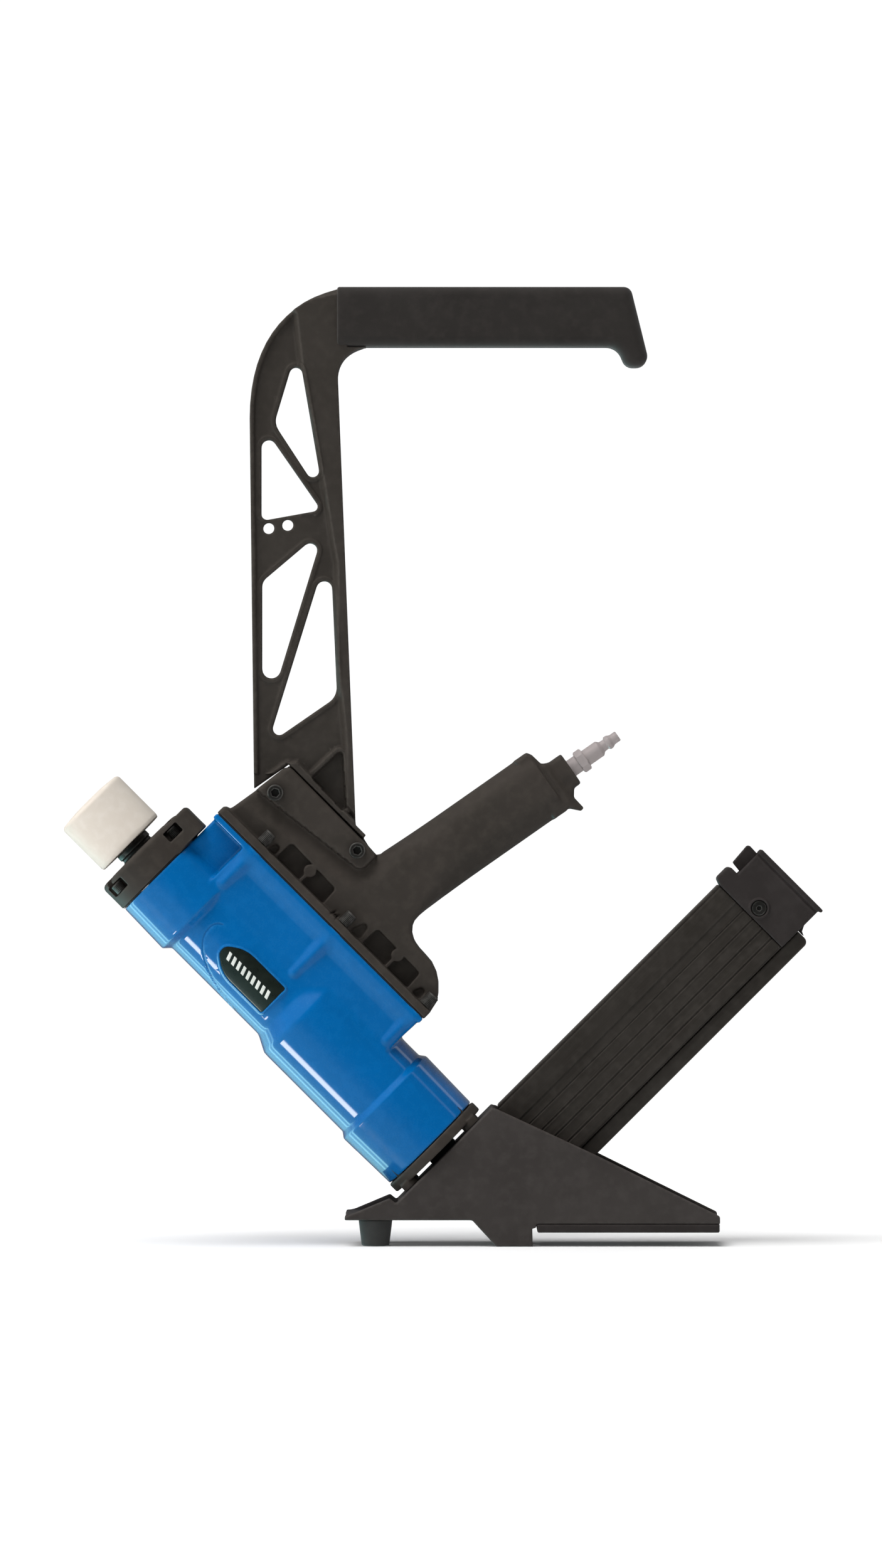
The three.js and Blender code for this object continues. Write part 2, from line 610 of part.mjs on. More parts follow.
function longHandle() {
  const web = slab(armOutline(), -ARM.webHalf, ARM.webHalf, 5);
  const windows = WINDOWS.map((corners) => plate(corners, CLEAR));
  const eyes = [[-180, 490.3], [-167, 492.5]].map(([x, z]) => rod("y", 3.8, -CLEAR, CLEAR, [x, 0, z]));
  const innerRail = plate([
    [-163, 637], [-134, 650, 2], [-134, 614.5], [-124, 614.5], [-131, 606, 14], [-132.7, 594], [-120.5, 290],
    [-128, 300], [-128, 345], [-133.5, 400], [-134, 470], [-150, 560],
  ], ARM.railHalf);
  const outerRail = plate([[-190.1, 320], [-192.9, 560], [-187, 560], [-186, 320]], ARM.railHalf);
  const foot = plate([[-166.3, 328.5], [-115.5, 277.7], [-113.5, 280], [-164, 331]], BRACKET.half - 2);
  const within = slab(armOutline(), -CLEAR, CLEAR, 5);
  const rails = join(innerRail, outerRail, foot).intersect(within);
  const bar = plate([
    [-136, TOP_BAR.low], [TOP_BAR.end, TOP_BAR.low], [TOP_BAR.end, TOP_BAR.high], [-136, TOP_BAR.high],
  ], TOP_BAR.half);
  return cut(join(web, rails, bar, armTongue()), ...windows, ...eyes);
}

function topGrip() {
  const g = TOP_GRIP;
  const hook = plate([
    [20, g.low], [59, g.low, 9], [64.2, g.low - 14, 6], [81, g.low - 14, 7], [67.5, g.high, 5], [20, g.high],
  ], g.half - 2.5, 3);
  const straight = bar(rectangle(g.low, g.high, g.half, g.edge), g.left, 60, 3);
  const socket = block([g.left - 1, TOP_BAR.end + 0.5], [-TOP_BAR.half - GAP, TOP_BAR.half + GAP],
    [TOP_BAR.low - GAP, TOP_BAR.high + GAP]);
  return cut(join(straight, hook), socket);
}

function handleNut() {
  const hexagon = rod("z", NUT.radius, 0, NUT.tall, [0, 0, 0], 6);
  return cut(hexagon, rod("z", SCREWS.handle.shank + GAP, -1, NUT.tall + 1));
}

function buildTallHandle() {
  add(tool, "long_handle", longHandle(), BLACK_CASTING);
  add(tool, "top_grip", topGrip(), BLACK_RUBBER);
  BRACKET.boltHeight.forEach((height, i) => {
    const face = (i ? NECK_HALF : BRACKET.half) + GAP;
    const bolt = add(barrel, `handle_bolt_${i + 1}`, socketScrew("handle"), DARK_STEEL);
    bolt.position.set(BRACKET.boltReach[i], -face, height);
    bolt.rotation.x = Math.PI / 2;
    const nut = add(barrel, `handle_nut_${i + 1}`, handleNut(), DARK_STEEL);
    nut.position.set(BRACKET.boltReach[i], face, height);
    nut.rotation.x = -Math.PI / 2;
  });
}

// ---- The shoe: a steel frame, its sole plate and rubber feet ----
const SOLE_SCREWS = [[28, 22], [28, -22], [100, 22], [100, -22]];
const REAR_FEET = [[-106.7, 22], [-106.7, -22]];
const FOOT_SEAT = 6;

function shoeSide() {
  return [
    [-127.5, 18], [-127.5, 20], [-97, 32.8], [-92.5, 30.3], [-27.5, 95.3], [-24.5, 95], [45, 62], [128, 20.5],
    [128, SHOE.floor], [3.6, SHOE.floor], [2.5, 12.5], [0.3, 12], [0.5, 0], [-24.5, 0], [-41, 18],
  ];
}

function baseFrame() {
  const side = slab(outline(shoeSide()), SHOE.half - SHOE.wall, SHOE.half);
  const other = slab(outline(shoeSide()), -SHOE.half, -SHOE.half + SHOE.wall);
  const top = barrelToTool(block([-43.5, 47.5], [-SHOE.half, SHOE.half], [82.6, 86.8]));
  const floor = block([4, 128], [-SHOE.half, SHOE.half], [SHOE.floor, SHOE.floor + SHOE.floorThick]);
  const rear = block([-127, -40], [-SHOE.half, SHOE.half], [18, 22]);
  const foot = plate([[-42, 18.1], [-41, 18], [-24.5, 0], [0.5, 0], [0.3, 12], [-6, 18.1]], SHOE.half);
  const throat = block([-60, 6], [-11.3, 11.3], [-1, 30]);
  const passage = barrelToTool(guidePassage(76, 95));
  const bolts = screwHoles("nose", NOSE_BOLTS, 76, 95).map(barrelToTool);
  const soleHoles = screwHoles("sole", SOLE_SCREWS, 10, 26);
  const footHoles = screwHoles("foot", REAR_FEET, 10, 26);
  const track = barrelToTool(block([14, 60], [-TRACK.half - 0.6, TRACK.half + 0.6], [TRACK.low - 0.6, 60]));
  const frame = join(side, other, top, floor, rear, foot);
  return cut(frame, throat, passage, track, ...bolts, ...soleHoles, ...footHoles);
}

function solePlate() {
  const body = plate([[3.6, SHOE.sole], [128, SHOE.sole], [128, 15], [3.6, 15]], SHOE.half);
  const sinks = SOLE_SCREWS.map(([x, y]) => rod("z", SCREWS.sole.head + 0.4, 0, 12, [x, y, 0], 16));
  return cut(body, ...screwHoles("sole", SOLE_SCREWS, 0, 20), ...sinks);
}

function rearFoot() {
  const body = turned([[0, 0], [9.5, 0], [10.2, 0.8], [11.5, 17.7], [0, 17.7]], 24);
  const sink = rod("z", SCREWS.foot.head + 0.4, -1, FOOT_SEAT, [0, 0, 0], 16);
  return cut(body, sink, rod("z", SCREWS.foot.shank + GAP, -1, 20));
}

function buildShoe() {
  add(tool, "base_frame", baseFrame(), BLACK_STEEL);
  add(tool, "sole_plate", solePlate(), BLACK_PLASTIC);
  SOLE_SCREWS.forEach(([x, y], i) => {
    const screw = add(tool, `sole_screw_${i + 1}`, socketScrew("sole"), DARK_STEEL);
    screw.position.set(x, y, 12 - GAP);
    screw.rotation.x = Math.PI;
  });
  REAR_FEET.forEach(([x, y], i) => {
    add(tool, `rear_foot_${i + 1}`, rearFoot(), BLACK_RUBBER).position.set(x, y, 0);
    const screw = add(tool, `foot_screw_${i + 1}`, socketScrew("foot"), DARK_STEEL);
    screw.position.set(x, y, FOOT_SEAT - GAP);
    screw.rotation.x = Math.PI;
  });
}

// ---- The nose guide and the magazine ----
function noseGuide() {
  const { back, front, half, low, top } = NOSE_GUIDE;
  const upper = block([-back, front], [-half, half], [low, top]);
  const lower = block([-back, 2.4], [-half, half], [0, low + 1]);
  const channel = block([-2.1, 2.1], [-4.4, 4.4], [-20, 99]);
  const feed = block([0, 4], [-4.4, 4.4], [-20, 74]);
  const body = barrelToTool(cut(join(upper, lower), channel, feed));
  return body.intersect(block([-100, -0.2], [-20, 20], [0.4, 100]));
}

function magazineTrack() {
  const t = TRACK;
  const strip = plate([[t.start, t.low, 1.5], [t.end, t.low, 4], [t.end, t.top, 2], [t.start, t.top]], t.half);
  const groove = block([t.start - 1, t.ribEnd], [-2.2, 2.2], [t.top - 4, t.top + 1]);
  const rails = [1, -1].map((side) => slab(
    outline([[4, t.top - 0.4], [t.start + 8, t.top - 0.4], [t.start + 8, t.top - 1], [t.ribEnd, t.top - 1],
      [t.ribEnd, t.ribTop], [4, t.ribTop]]),
    side > 0 ? t.ribIn : -t.ribOut, side > 0 ? t.ribOut : -t.ribIn,
  ));
  return cut(join(strip, ...rails), groove);
}

function magazineShell() {
  const s = SHELL;
  const body = plate([
    [s.start, s.low], [s.end, s.low], [s.end, s.top], [49.5, s.top, 3], [49.5, 78.6, 2], [s.start, 78.6],
  ], s.half);
  const cavity = join(
    block([s.start - 1, s.end + 1], [s.wall - s.half, s.half - s.wall], [s.low - 1, 76]),
    block([50, s.end + 1], [s.wall - s.half, s.half - s.wall], [70, s.top - s.roof]),
  );
  const grooves = [32.2, 41.2, 50.5, 59.5, 65.7].flatMap((height) => [1, -1].map((side) => (
    block([s.start - 1, s.end + 1], side > 0 ? [s.half - 0.6, CLEAR] : [-CLEAR, 0.6 - s.half],
      [height - 0.5, height + 0.5])
  )));
  return cut(body, cavity, ...grooves);
}

function endCap() {
  const c = END_CAP;
  const body = plate([
    [c.start, c.low], [c.end, c.low, 1], [c.end, c.top, 1], [279, c.top], [279, 88, 3], [266.5, 88, 3],
    [266.5, c.top], [c.start, c.top],
  ], c.half);
  const well = block([280, 299.2], [-LATCH.half - 1, LATCH.half + 1], [c.low - 1, c.top + 1]);
  const screw = [c.screwX, 0, c.screwZ];
  const screwHole = rod("y", SCREWS.endCap.shank + GAP, -CLEAR, CLEAR, screw);
  const ringRecess = rod("y", SCREWS.endCap.head + GAP, -CLEAR, c.screwSeat, screw, 20);
  const pinHole = rod("y", LATCH.pinRadius + GAP, -12, 12, [LATCH.pivotX, 0, LATCH.pivotZ]);
  const raised = rod("y", 7.2, -c.half - 1.5, -c.half + 1, screw, 24);
  return cut(join(body, raised), well, screwHole, ringRecess, pinHole);
}

function latch() {
  const hook = new THREE.Shape();
  hook.moveTo(281, 23);
  hook.lineTo(281, 17);
  hook.quadraticCurveTo(282.5, 21.5, 287.2, 22.7);
  hook.lineTo(290, 27);
  hook.lineTo(294.5, 50);
  hook.lineTo(296, 81);
  hook.lineTo(299, 81);
  hook.lineTo(298, 89);
  hook.lineTo(294, 87.2);
  hook.lineTo(282, 87.2);
  hook.lineTo(281.6, 81);
  hook.lineTo(289, 81);
  hook.lineTo(286, 50);
  hook.lineTo(283.5, 27);
  hook.closePath();
  const body = slab(hook, -LATCH.half, LATCH.half);
  const boss = rod("y", 5, -LATCH.half, LATCH.half, [LATCH.pivotX, 0, LATCH.pivotZ], 20);
  return cut(join(body, boss), rod("y", LATCH.pinRadius + GAP, -CLEAR, CLEAR, [LATCH.pivotX, 0, LATCH.pivotZ]));
}

function pusher() {
  const body = block([6, 34], [-3.6, 3.6], [24.2, 72]);
  return cut(body, rod("y", PUSHER_ROLL.radius + 0.4, -CLEAR, CLEAR, PUSHER_ROLL.at, 20));
}

function pusherSpring() {
  const { radius, half, at } = PUSHER_ROLL;
  return cut(rod("y", radius, -half, half, at, 20), rod("y", 4, -CLEAR, CLEAR, at, 16));
}

function buildMagazine() {
  add(tool, "nose_guide", noseGuide(), DARK_STEEL);
  add(barrel, "magazine_track", magazineTrack(), BLACK_ANODISED);
  add(barrel, "magazine_shell", magazineShell(), BLACK_ANODISED);
  add(barrel, "magazine_end_cap", endCap(), BLACK_PLASTIC);
  const screw = add(barrel, "end_cap_screw", socketScrew("endCap"), DARK_STEEL);
  screw.position.set(END_CAP.screwX, END_CAP.screwSeat - GAP, END_CAP.screwZ);
  screw.rotation.x = Math.PI / 2;
  add(barrel, "latch", latch(), BLACK_PLASTIC);
  const pin = rod("y", LATCH.pinRadius, -11.5, 11.5, [LATCH.pivotX, 0, LATCH.pivotZ]);
  add(barrel, "latch_pin", pin, STEEL);
  add(barrel, "pusher", pusher(), STEEL);
  add(barrel, "pusher_spring", pusherSpring(), SPRING_STEEL);
}

buildBarrel();
buildHandle();
buildTallHandle();
buildShoe();
buildMagazine();

export default nailer;
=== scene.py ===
"""The looks of a pneumatic flooring nailer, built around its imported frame.

Solids are modelled as signed distances on a grid, which gives castings their fillets and worn edges, and are
then turned into meshes. Lengths inside a piece are in millimetres; objects are in metres.
"""

import json
import math

import bpy
import numpy as np
import openvdb
from mathutils import Matrix, Vector

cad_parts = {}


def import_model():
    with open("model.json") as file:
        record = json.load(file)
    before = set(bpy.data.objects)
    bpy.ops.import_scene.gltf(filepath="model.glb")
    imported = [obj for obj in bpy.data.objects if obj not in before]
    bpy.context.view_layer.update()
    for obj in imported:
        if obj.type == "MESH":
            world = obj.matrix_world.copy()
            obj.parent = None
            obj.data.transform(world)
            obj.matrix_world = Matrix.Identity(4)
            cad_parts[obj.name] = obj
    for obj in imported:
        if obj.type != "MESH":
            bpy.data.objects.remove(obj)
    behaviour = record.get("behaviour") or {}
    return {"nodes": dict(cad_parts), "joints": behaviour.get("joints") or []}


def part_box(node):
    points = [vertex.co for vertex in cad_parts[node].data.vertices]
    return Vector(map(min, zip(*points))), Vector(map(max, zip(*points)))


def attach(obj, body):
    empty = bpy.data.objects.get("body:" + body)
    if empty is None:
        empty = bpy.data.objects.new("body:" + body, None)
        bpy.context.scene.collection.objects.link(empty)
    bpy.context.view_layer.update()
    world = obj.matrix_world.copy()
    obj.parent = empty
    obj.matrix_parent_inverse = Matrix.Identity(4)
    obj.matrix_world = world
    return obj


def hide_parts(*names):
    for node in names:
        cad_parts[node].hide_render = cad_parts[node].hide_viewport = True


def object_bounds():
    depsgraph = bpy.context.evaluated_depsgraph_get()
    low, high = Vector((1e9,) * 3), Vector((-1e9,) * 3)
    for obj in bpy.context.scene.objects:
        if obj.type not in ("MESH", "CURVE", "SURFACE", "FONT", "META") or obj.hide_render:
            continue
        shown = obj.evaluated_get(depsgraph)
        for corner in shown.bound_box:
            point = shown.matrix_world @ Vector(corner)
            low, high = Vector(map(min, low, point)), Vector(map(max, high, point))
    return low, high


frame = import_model()
CAD_LOW, CAD_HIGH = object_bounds()

MM = 0.001

# ---- Frames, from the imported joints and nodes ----
joints = {joint["name"]: joint for joint in frame["joints"]}
drive_axis = Vector(joints["driver_slide"]["axis"])
LEAN = math.atan2(drive_axis.x, -drive_axis.z)


def middle(node):
    low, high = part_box(node)
    return (low + high) / 2


# TOOL is upright, with its origin where the driving axis meets the floor. DRIVE leans with that axis, and
# GRIP turns a little back from it.
GRIP_DROP = math.radians(10)
axis_point = middle("strike_cap")
NOSE_X = axis_point.x + axis_point.z * math.tan(LEAN)
TOOL = Matrix.Translation((NOSE_X, 0, 0))
DRIVE = TOOL @ Matrix.Rotation(-LEAN, 4, "Y")
GRIP = DRIVE @ Matrix.Rotation(GRIP_DROP, 4, "Y")


# ---- Signed distance: below zero is inside ----
def rounded(corners, steps=6):
    """A closed path through corners (x, z, radius), its corners rounded by arcs."""
    points = []
    for i, corner in enumerate(corners):
        here = Vector(corner[:2])
        radius = corner[2] if len(corner) > 2 else 0
        if not radius:
            points.append(tuple(here))
            continue
        before = (Vector(corners[i - 1][:2]) - here).normalized()
        after = (Vector(corners[(i + 1) % len(corners)][:2]) - here).normalized()
        half = math.acos(max(-1, min(1, before.dot(after)))) / 2
        centre = here + (before + after).normalized() * radius / math.sin(half)
        start = here + before * radius / math.tan(half) - centre
        end = here + after * radius / math.tan(half) - centre
        turn = math.atan2(start.x * end.y - start.y * end.x, start.dot(end))
        for k in range(steps + 1):
            angle = turn * k / steps
            c, s = math.cos(angle), math.sin(angle)
            points.append((centre.x + start.x * c - start.y * s, centre.y + start.x * s + start.y * c))
    return points


def bezier(a, b, c, d, steps=10):
    """Points along a cubic from a to d, leaving out d."""
    points = []
    for k in range(steps):
        t = k / steps
        u = 1 - t
        shares = (u**3, 3 * u * u * t, 3 * u * t * t, t**3)
        points.append(tuple(sum(w * p[i] for w, p in zip(shares, (a, b, c, d))) for i in (0, 1)))
    return points


def hexagon(radius):
    """A hexagon's corners, at that radius."""
    angles = [math.radians(60 * k) for k in range(6)]
    return [(radius * math.cos(angle), radius * math.sin(angle)) for angle in angles]


def area(points, u, v):
    """Signed distance from a closed outline, over the plane of u and v."""
    shape = np.broadcast(u, v).shape
    best = np.full(shape, 1e9, np.float32)
    inside = np.zeros(shape, bool)
    for (au, av), (bu, bv) in zip(points, points[1:] + points[:1]):
        eu, ev = bu - au, bv - av
        length = eu * eu + ev * ev
        if length < 1e-9:
            continue
        wu, wv = u - au, v - av
        t = np.clip((wu * eu + wv * ev) / length, 0, 1)
        best = np.minimum(best, (wu - eu * t) ** 2 + (wv - ev * t) ** 2)
        if av != bv:
            inside ^= ((v < av) != (v < bv)) & (u < au + wv * (eu / ev))
    return np.where(inside, -1, 1).astype(np.float32) * np.sqrt(best)


def line(points, u, v):
    """Distance from an open path."""
    best = np.full(np.broadcast(u, v).shape, 1e9, np.float32)
    for (au, av), (bu, bv) in zip(points, points[1:]):
        eu, ev = bu - au, bv - av
        wu, wv = u - au, v - av
        t = np.clip((wu * eu + wv * ev) / (eu * eu + ev * ev), 0, 1)
        best = np.minimum(best, (wu - eu * t) ** 2 + (wv - ev * t) ** 2)
    return np.sqrt(best)


def weld(a, b, fillet=0.0):
    """Either solid, with a fillet where they join."""
    if not fillet:
        return np.minimum(a, b)
    u, v = np.maximum(fillet - a, 0), np.maximum(fillet - b, 0)
    return np.maximum(fillet, np.minimum(a, b)) - np.hypot(u, v)


def meet(a, b, edge=0.0):
    """What both solids share. The edge's radius may be an array, so that it changes from place to place."""
    if np.isscalar(edge) and not edge:
        return np.maximum(a, b)
    u, v = np.maximum(edge + a, 0), np.maximum(edge + b, 0)
    return np.minimum(-edge, np.maximum(a, b)) + np.hypot(u, v)


def carve(a, b, edge=0.0):
    """The first solid without the second."""
    return meet(a, -b, edge)


def between(t, low, high):
    """Distance from a slab."""
    return np.abs(t - (low + high) / 2) - (high - low) / 2


def ease(t):
    """A smooth step from 0 to 1."""
    t = np.clip(t, 0, 1)
    return t * t * (3 - 2 * t)


class Grid:
    """The points that a solid's distance is worked out at."""

    def __init__(self, low, high, step):
        self.low, self.step = np.array(low, float), step
        a, b, c = (np.arange(lo, hi + step, step, dtype=np.float32) for lo, hi in zip(low, high))
        self.x, self.y, self.z = a[:, None, None], b[None, :, None], c[None, None, :]

    def block(self, xs, ys, zs, edge=0.0):
        q = [np.abs(t - (lo + hi) / 2) - (hi - lo) / 2 + edge
             for t, (lo, hi) in zip((self.x, self.y, self.z), (xs, ys, zs))]
        outside = np.sqrt(sum(np.maximum(a, 0) ** 2 for a in q))
        return outside + np.minimum(np.maximum(np.maximum(q[0], q[1]), q[2]), 0) - edge

    def side(self, points):
        """Distance from an outline seen from the side, that is in x and z."""
        return area(points, self.x[:, 0, :], self.z[0])[:, None, :]

    def prism(self, corners, low, high, edge=0.0, along="y", steps=6):
        points = rounded(corners, steps)
        if along == "y":
            return meet(self.side(points), between(self.y, low, high), edge)
        flat = area(points, self.x[:, :, 0], self.y[:, :, 0])[:, :, None]
        return meet(flat, between(self.z, low, high), edge)

    def rod(self, radius, low, high, at=(0, 0, 0), along="z", edge=0.0):
        x, y, z = self.x - at[0], self.y - at[1], self.z - at[2]
        if along == "y":
            return meet(np.hypot(x, z) - radius, between(self.y, low, high), edge)
        return meet(np.hypot(x, y) - radius, between(self.z, low, high), edge)

    def lathe(self, profile, steps=6):
        """A solid turned about Z from corners (radius, height, rounding). Radius 0 stands for the axis."""
        past_axis = -80
        profile = [(corner[0] or past_axis, *corner[1:]) for corner in profile]
        reach = np.hypot(self.x[:, :, 0], self.y[:, :, 0])
        fine = self.step / 2
        radii = np.arange(0, reach.max() + 2 * fine, fine, dtype=np.float32)
        table = area(rounded(profile, steps), radii[:, None], self.z[0])
        place = reach / fine
        index = np.minimum(place.astype(int), len(radii) - 2)
        part = (place - index).astype(np.float32)[:, :, None]
        return table[index] * (1 - part) + table[index + 1] * part

    def mesh(self, name, field, adapt=0.02):
        """The surface as a mesh in metres, with smooth normals and a vertex value for convex edges."""
        field = np.broadcast_to(field, (self.x.size, self.y.size, self.z.size)).astype(np.float32)
        band = 3 * self.step
        grid = openvdb.FloatGrid(band)
        clipped = np.clip(field, -band, band)
        # The grid's own faces count as outside, so that the mesh is closed.
        for axis in range(3):
            for side in (0, -1):
                rim = [slice(None)] * 3
                rim[axis] = side
                clipped[tuple(rim)] = np.maximum(clipped[tuple(rim)], self.step * 0.5)
        grid.copyFromArray(clipped)
        points, triangles, quads = grid.convertToPolygons(isovalue=0.0, adaptivity=adapt)
        size = np.array(field.shape) - 2

        def at(p):
            """The distance between grid points. Here and below, places are in steps of the grid."""
            i = np.clip(np.floor(p).astype(int), 0, size)
            f = np.clip(p - i, 0, 1)
            total = 0
            for corner in range(8):
                o = np.array([corner & 1, corner >> 1 & 1, corner >> 2])
                share = np.prod(np.where(o, f, 1 - f), axis=1)
                total = total + share * field[i[:, 0] + o[0], i[:, 1] + o[1], i[:, 2] + o[2]]
            return total

        def slope(p, reach=0.8):
            out = np.stack([at(p + reach * e) - at(p - reach * e) for e in np.eye(3)], axis=1)
            return out / np.maximum(np.linalg.norm(out, axis=1, keepdims=True), 1e-9)

        # Each vertex moves on to the surface. How the distance bends there tells convex edges from flats.
        furthest = 0.4 * self.step
        off = np.clip(at(points), -furthest, furthest)[:, None]
        points = points - off / self.step * slope(points)
        normal = slope(points)
        apart = 1.6
        bend = sum(at(points + apart * e) + at(points - apart * e) for e in np.eye(3)) - 6 * at(points)
        bend = bend / (apart * self.step) ** 2
        least, most = 0.2, 1.0
        mesh = bpy.data.meshes.new(name)
        faces = triangles.tolist() + quads.tolist()
        mesh.from_pydata(((points * self.step + self.low) * MM).tolist(), [], faces)
        mesh.update()
        mesh.shade_smooth()
        mesh.normals_split_custom_set_from_vertices(normal.tolist())
        worn = mesh.attributes.new("edge", "FLOAT", "POINT")
        worn.data.foreach_set("value", np.clip((bend - least) / (most - least), 0, 1).astype(np.float32))
        return mesh


# ---- Materials ----
# Waves a metre of the colour's variation, of the worn edges' patches and of scuffs.
BROAD, MIDDLING, PATCHY, SCUFFED = 22, 160, 300, 90
COAT_ROUGHNESS = 0.03
SHEEN_ROUGHNESS = 0.5


def srgb(values):
    """Linear RGBA of a colour given in display levels, 0 to 255."""
    linear = [v / 255 / 12.92 if v <= 10 else ((v / 255 + 0.055) / 1.055) ** 2.4 for v in values]
    return (*linear, 1)


class Tree:
    """A node tree under construction."""

    def __init__(self, owner):
        owner.use_nodes = True
        self.nodes, self.links = owner.node_tree.nodes, owner.node_tree.links

    def node(self, kind, inputs=(), **settings):
        made = self.nodes.new(kind)
        for key, value in settings.items():
            setattr(made, key, value)
        for key, value in dict(inputs).items():
            if isinstance(value, bpy.types.NodeSocket):
                self.links.new(value, made.inputs[key])
            else:
                made.inputs[key].default_value = value
        return made

    def math(self, operation, *values):
        return self.node("ShaderNodeMath", enumerate(values), operation=operation).outputs[0]

    def blend(self, share, a, b):
        return self.node("ShaderNodeMix", {0: share, 6: a, 7: b}, data_type="RGBA").outputs[2]

    def spread(self, value, low, high, start=0.0, end=1.0, kind="LINEAR"):
        """The value's range from start to end, mapped to low and high."""
        return self.node("ShaderNodeMapRange", {
            "Value": value, "From Min": start, "From Max": end, "To Min": low, "To Max": high,
        }, interpolation_type=kind).outputs[0]


class Look(Tree):
    """A procedural material under construction."""

    def __init__(self, name):
        self.material = bpy.data.materials.new(name)
        super().__init__(self.material)
        self.shader = self.nodes["Principled BSDF"]
        self.place = self.node("ShaderNodeTexCoord").outputs["Object"]

    def noise(self, scale, detail=3.0, stretch=(1, 1, 1), rough=0.5, shift=(0, 0, 0)):
        """Noise from 0 to 1. Scale is in waves a metre."""
        place = self.node("ShaderNodeMapping", {"Vector": self.place, "Scale": stretch, "Location": shift})
        return self.node("ShaderNodeTexNoise", {
            "Vector": place.outputs[0], "Scale": scale, "Detail": detail, "Roughness": rough,
        }).outputs["Fac"]

    def bump(self, height, depth, before=None):
        inputs = {"Height": height, "Distance": depth}
        if before is not None:
            inputs["Normal"] = before
        return self.node("ShaderNodeBump", inputs).outputs[0]


def finish(name, tones, rough, grain, metal=0.0, coat=0.0, streak=None, worn=None, scuff=0.0, sheen=0.0,
           level=0.5):
    """A material with broad colour variation, fine grain, optional brushed lines, scuffs and worn edges.

    tones: dark, main and light colours. rough: lowest and highest roughness. grain: (waves a metre, depth).
    streak: (stretch, waves a metre, depth). worn: (colour, amount). level: how much it mirrors face on.
    """
    dark, main, light = (srgb(tone) for tone in tones)
    look = Look(name)
    broad = look.noise(BROAD, 4)
    middling = look.noise(MIDDLING, 4, shift=(3, 1, 2))
    fine = look.noise(grain[0], 3, rough=0.6)
    colour = look.blend(look.spread(broad, 0, 1, 0.3, 0.7), dark, main)
    colour = look.blend(look.spread(middling, 0, 0.65, 0.45, 0.8), colour, light)
    roughness = look.spread(look.math("ADD", middling, fine), rough[0], rough[1], 0.7, 1.3)
    normal = look.bump(fine, grain[1])
    if streak:
        lines = look.noise(streak[1], 2, stretch=streak[0], rough=0.7, shift=(5, 7, 1))
        colour = look.blend(look.spread(lines, 0, 0.35, 0.4, 0.75), colour, light)
        roughness = look.math("ADD", roughness, look.spread(lines, -0.08, 0.08, 0.3, 0.7))
        normal = look.bump(lines, streak[2], before=normal)
    if scuff:
        marks = look.noise(SCUFFED, 8, stretch=(1, 1, 4), rough=0.75, shift=(9, 4, 6))
        share = look.spread(marks, 0, scuff, 0.62, 0.72)
        colour = look.blend(share, colour, dark)
        roughness = look.math("ADD", roughness, look.math("MULTIPLY", share, 0.25))
    if worn:
        edge = look.node("ShaderNodeAttribute", attribute_name="edge").outputs["Fac"]
        patchy = look.spread(look.noise(PATCHY, 5, shift=(2, 8, 5)), 0.2, 1, 0.35, 0.65)
        share = look.math("MULTIPLY", look.math("MULTIPLY", edge, patchy), worn[1])
        colour = look.blend(share, colour, srgb(worn[0]))
    shader = look.shader
    look.links.new(colour, shader.inputs["Base Color"])
    look.links.new(roughness, shader.inputs["Roughness"])
    look.links.new(normal, shader.inputs["Normal"])
    shader.inputs["Metallic"].default_value = metal
    shader.inputs["Specular IOR Level"].default_value = level
    shader.inputs["Coat Weight"].default_value = coat
    shader.inputs["Coat Roughness"].default_value = COAT_ROUGHNESS
    if sheen:
        shader.inputs["Sheen Weight"].default_value = sheen
        shader.inputs["Sheen Roughness"].default_value = SHEEN_ROUGHNESS
    return look.material


BLUE = finish("blue_paint", ((0, 92, 156), (0, 96, 163), (0, 101, 169)), (0.22, 0.32),
              (900, 0.000012), coat=1.0, worn=((40, 130, 190), 0.35), level=0.12)
CAST = finish("black_casting", ((52, 48, 44), (59, 54, 50), (66, 61, 56)), (0.46, 0.6),
              (1400, 0.00005), worn=((84, 79, 74), 0.35), level=0.16)
ARM_CAST = finish("black_arm", ((50, 46, 42), (56, 52, 48), (63, 58, 54)), (0.48, 0.62),
                  (1200, 0.00005), worn=((84, 79, 74), 0.35), level=0.16)
ANODISED = finish("black_anodised", ((47, 43, 39), (54, 50, 46), (65, 60, 56)), (0.36, 0.5),
                  (1600, 0.00001), metal=0.2, streak=((1, 120, 120), 9, 0.00002), worn=((84, 80, 74), 0.2),
                  level=0.3)
SHOE = finish("black_shoe", ((54, 50, 48), (61, 57, 55), (67, 63, 61)), (0.5, 0.64),
              (1500, 0.00004), worn=((88, 84, 80), 0.3), level=0.18)
PLASTIC = finish("black_plastic", ((43, 39, 38), (48, 44, 43), (54, 50, 49)), (0.48, 0.62),
                 (2200, 0.00003), worn=((70, 67, 65), 0.2), level=0.16)
GRIP_RUBBER = finish("grip_rubber", ((40, 37, 35), (46, 43, 41), (52, 48, 46)), (0.6, 0.75),
                     (2600, 0.00006), sheen=0.12, level=0.16)
FOOT_RUBBER = finish("foot_rubber", ((42, 42, 41), (50, 50, 49), (58, 58, 57)), (0.7, 0.85),
                     (1800, 0.00005), sheen=0.15)
WHITE = finish("strike_polymer", ((204, 195, 184), (211, 203, 192), (217, 210, 201)), (0.4, 0.55),
               (700, 0.00003), scuff=0.25, worn=((190, 178, 164), 0.5), level=0.3)
STEEL = finish("plated_steel", ((176, 168, 168), (196, 188, 188), (214, 208, 208)), (0.34, 0.48),
               (1500, 0.000008), metal=0.55, streak=((14, 14, 300), 6, 0.000012), worn=((230, 226, 226), 0.4))
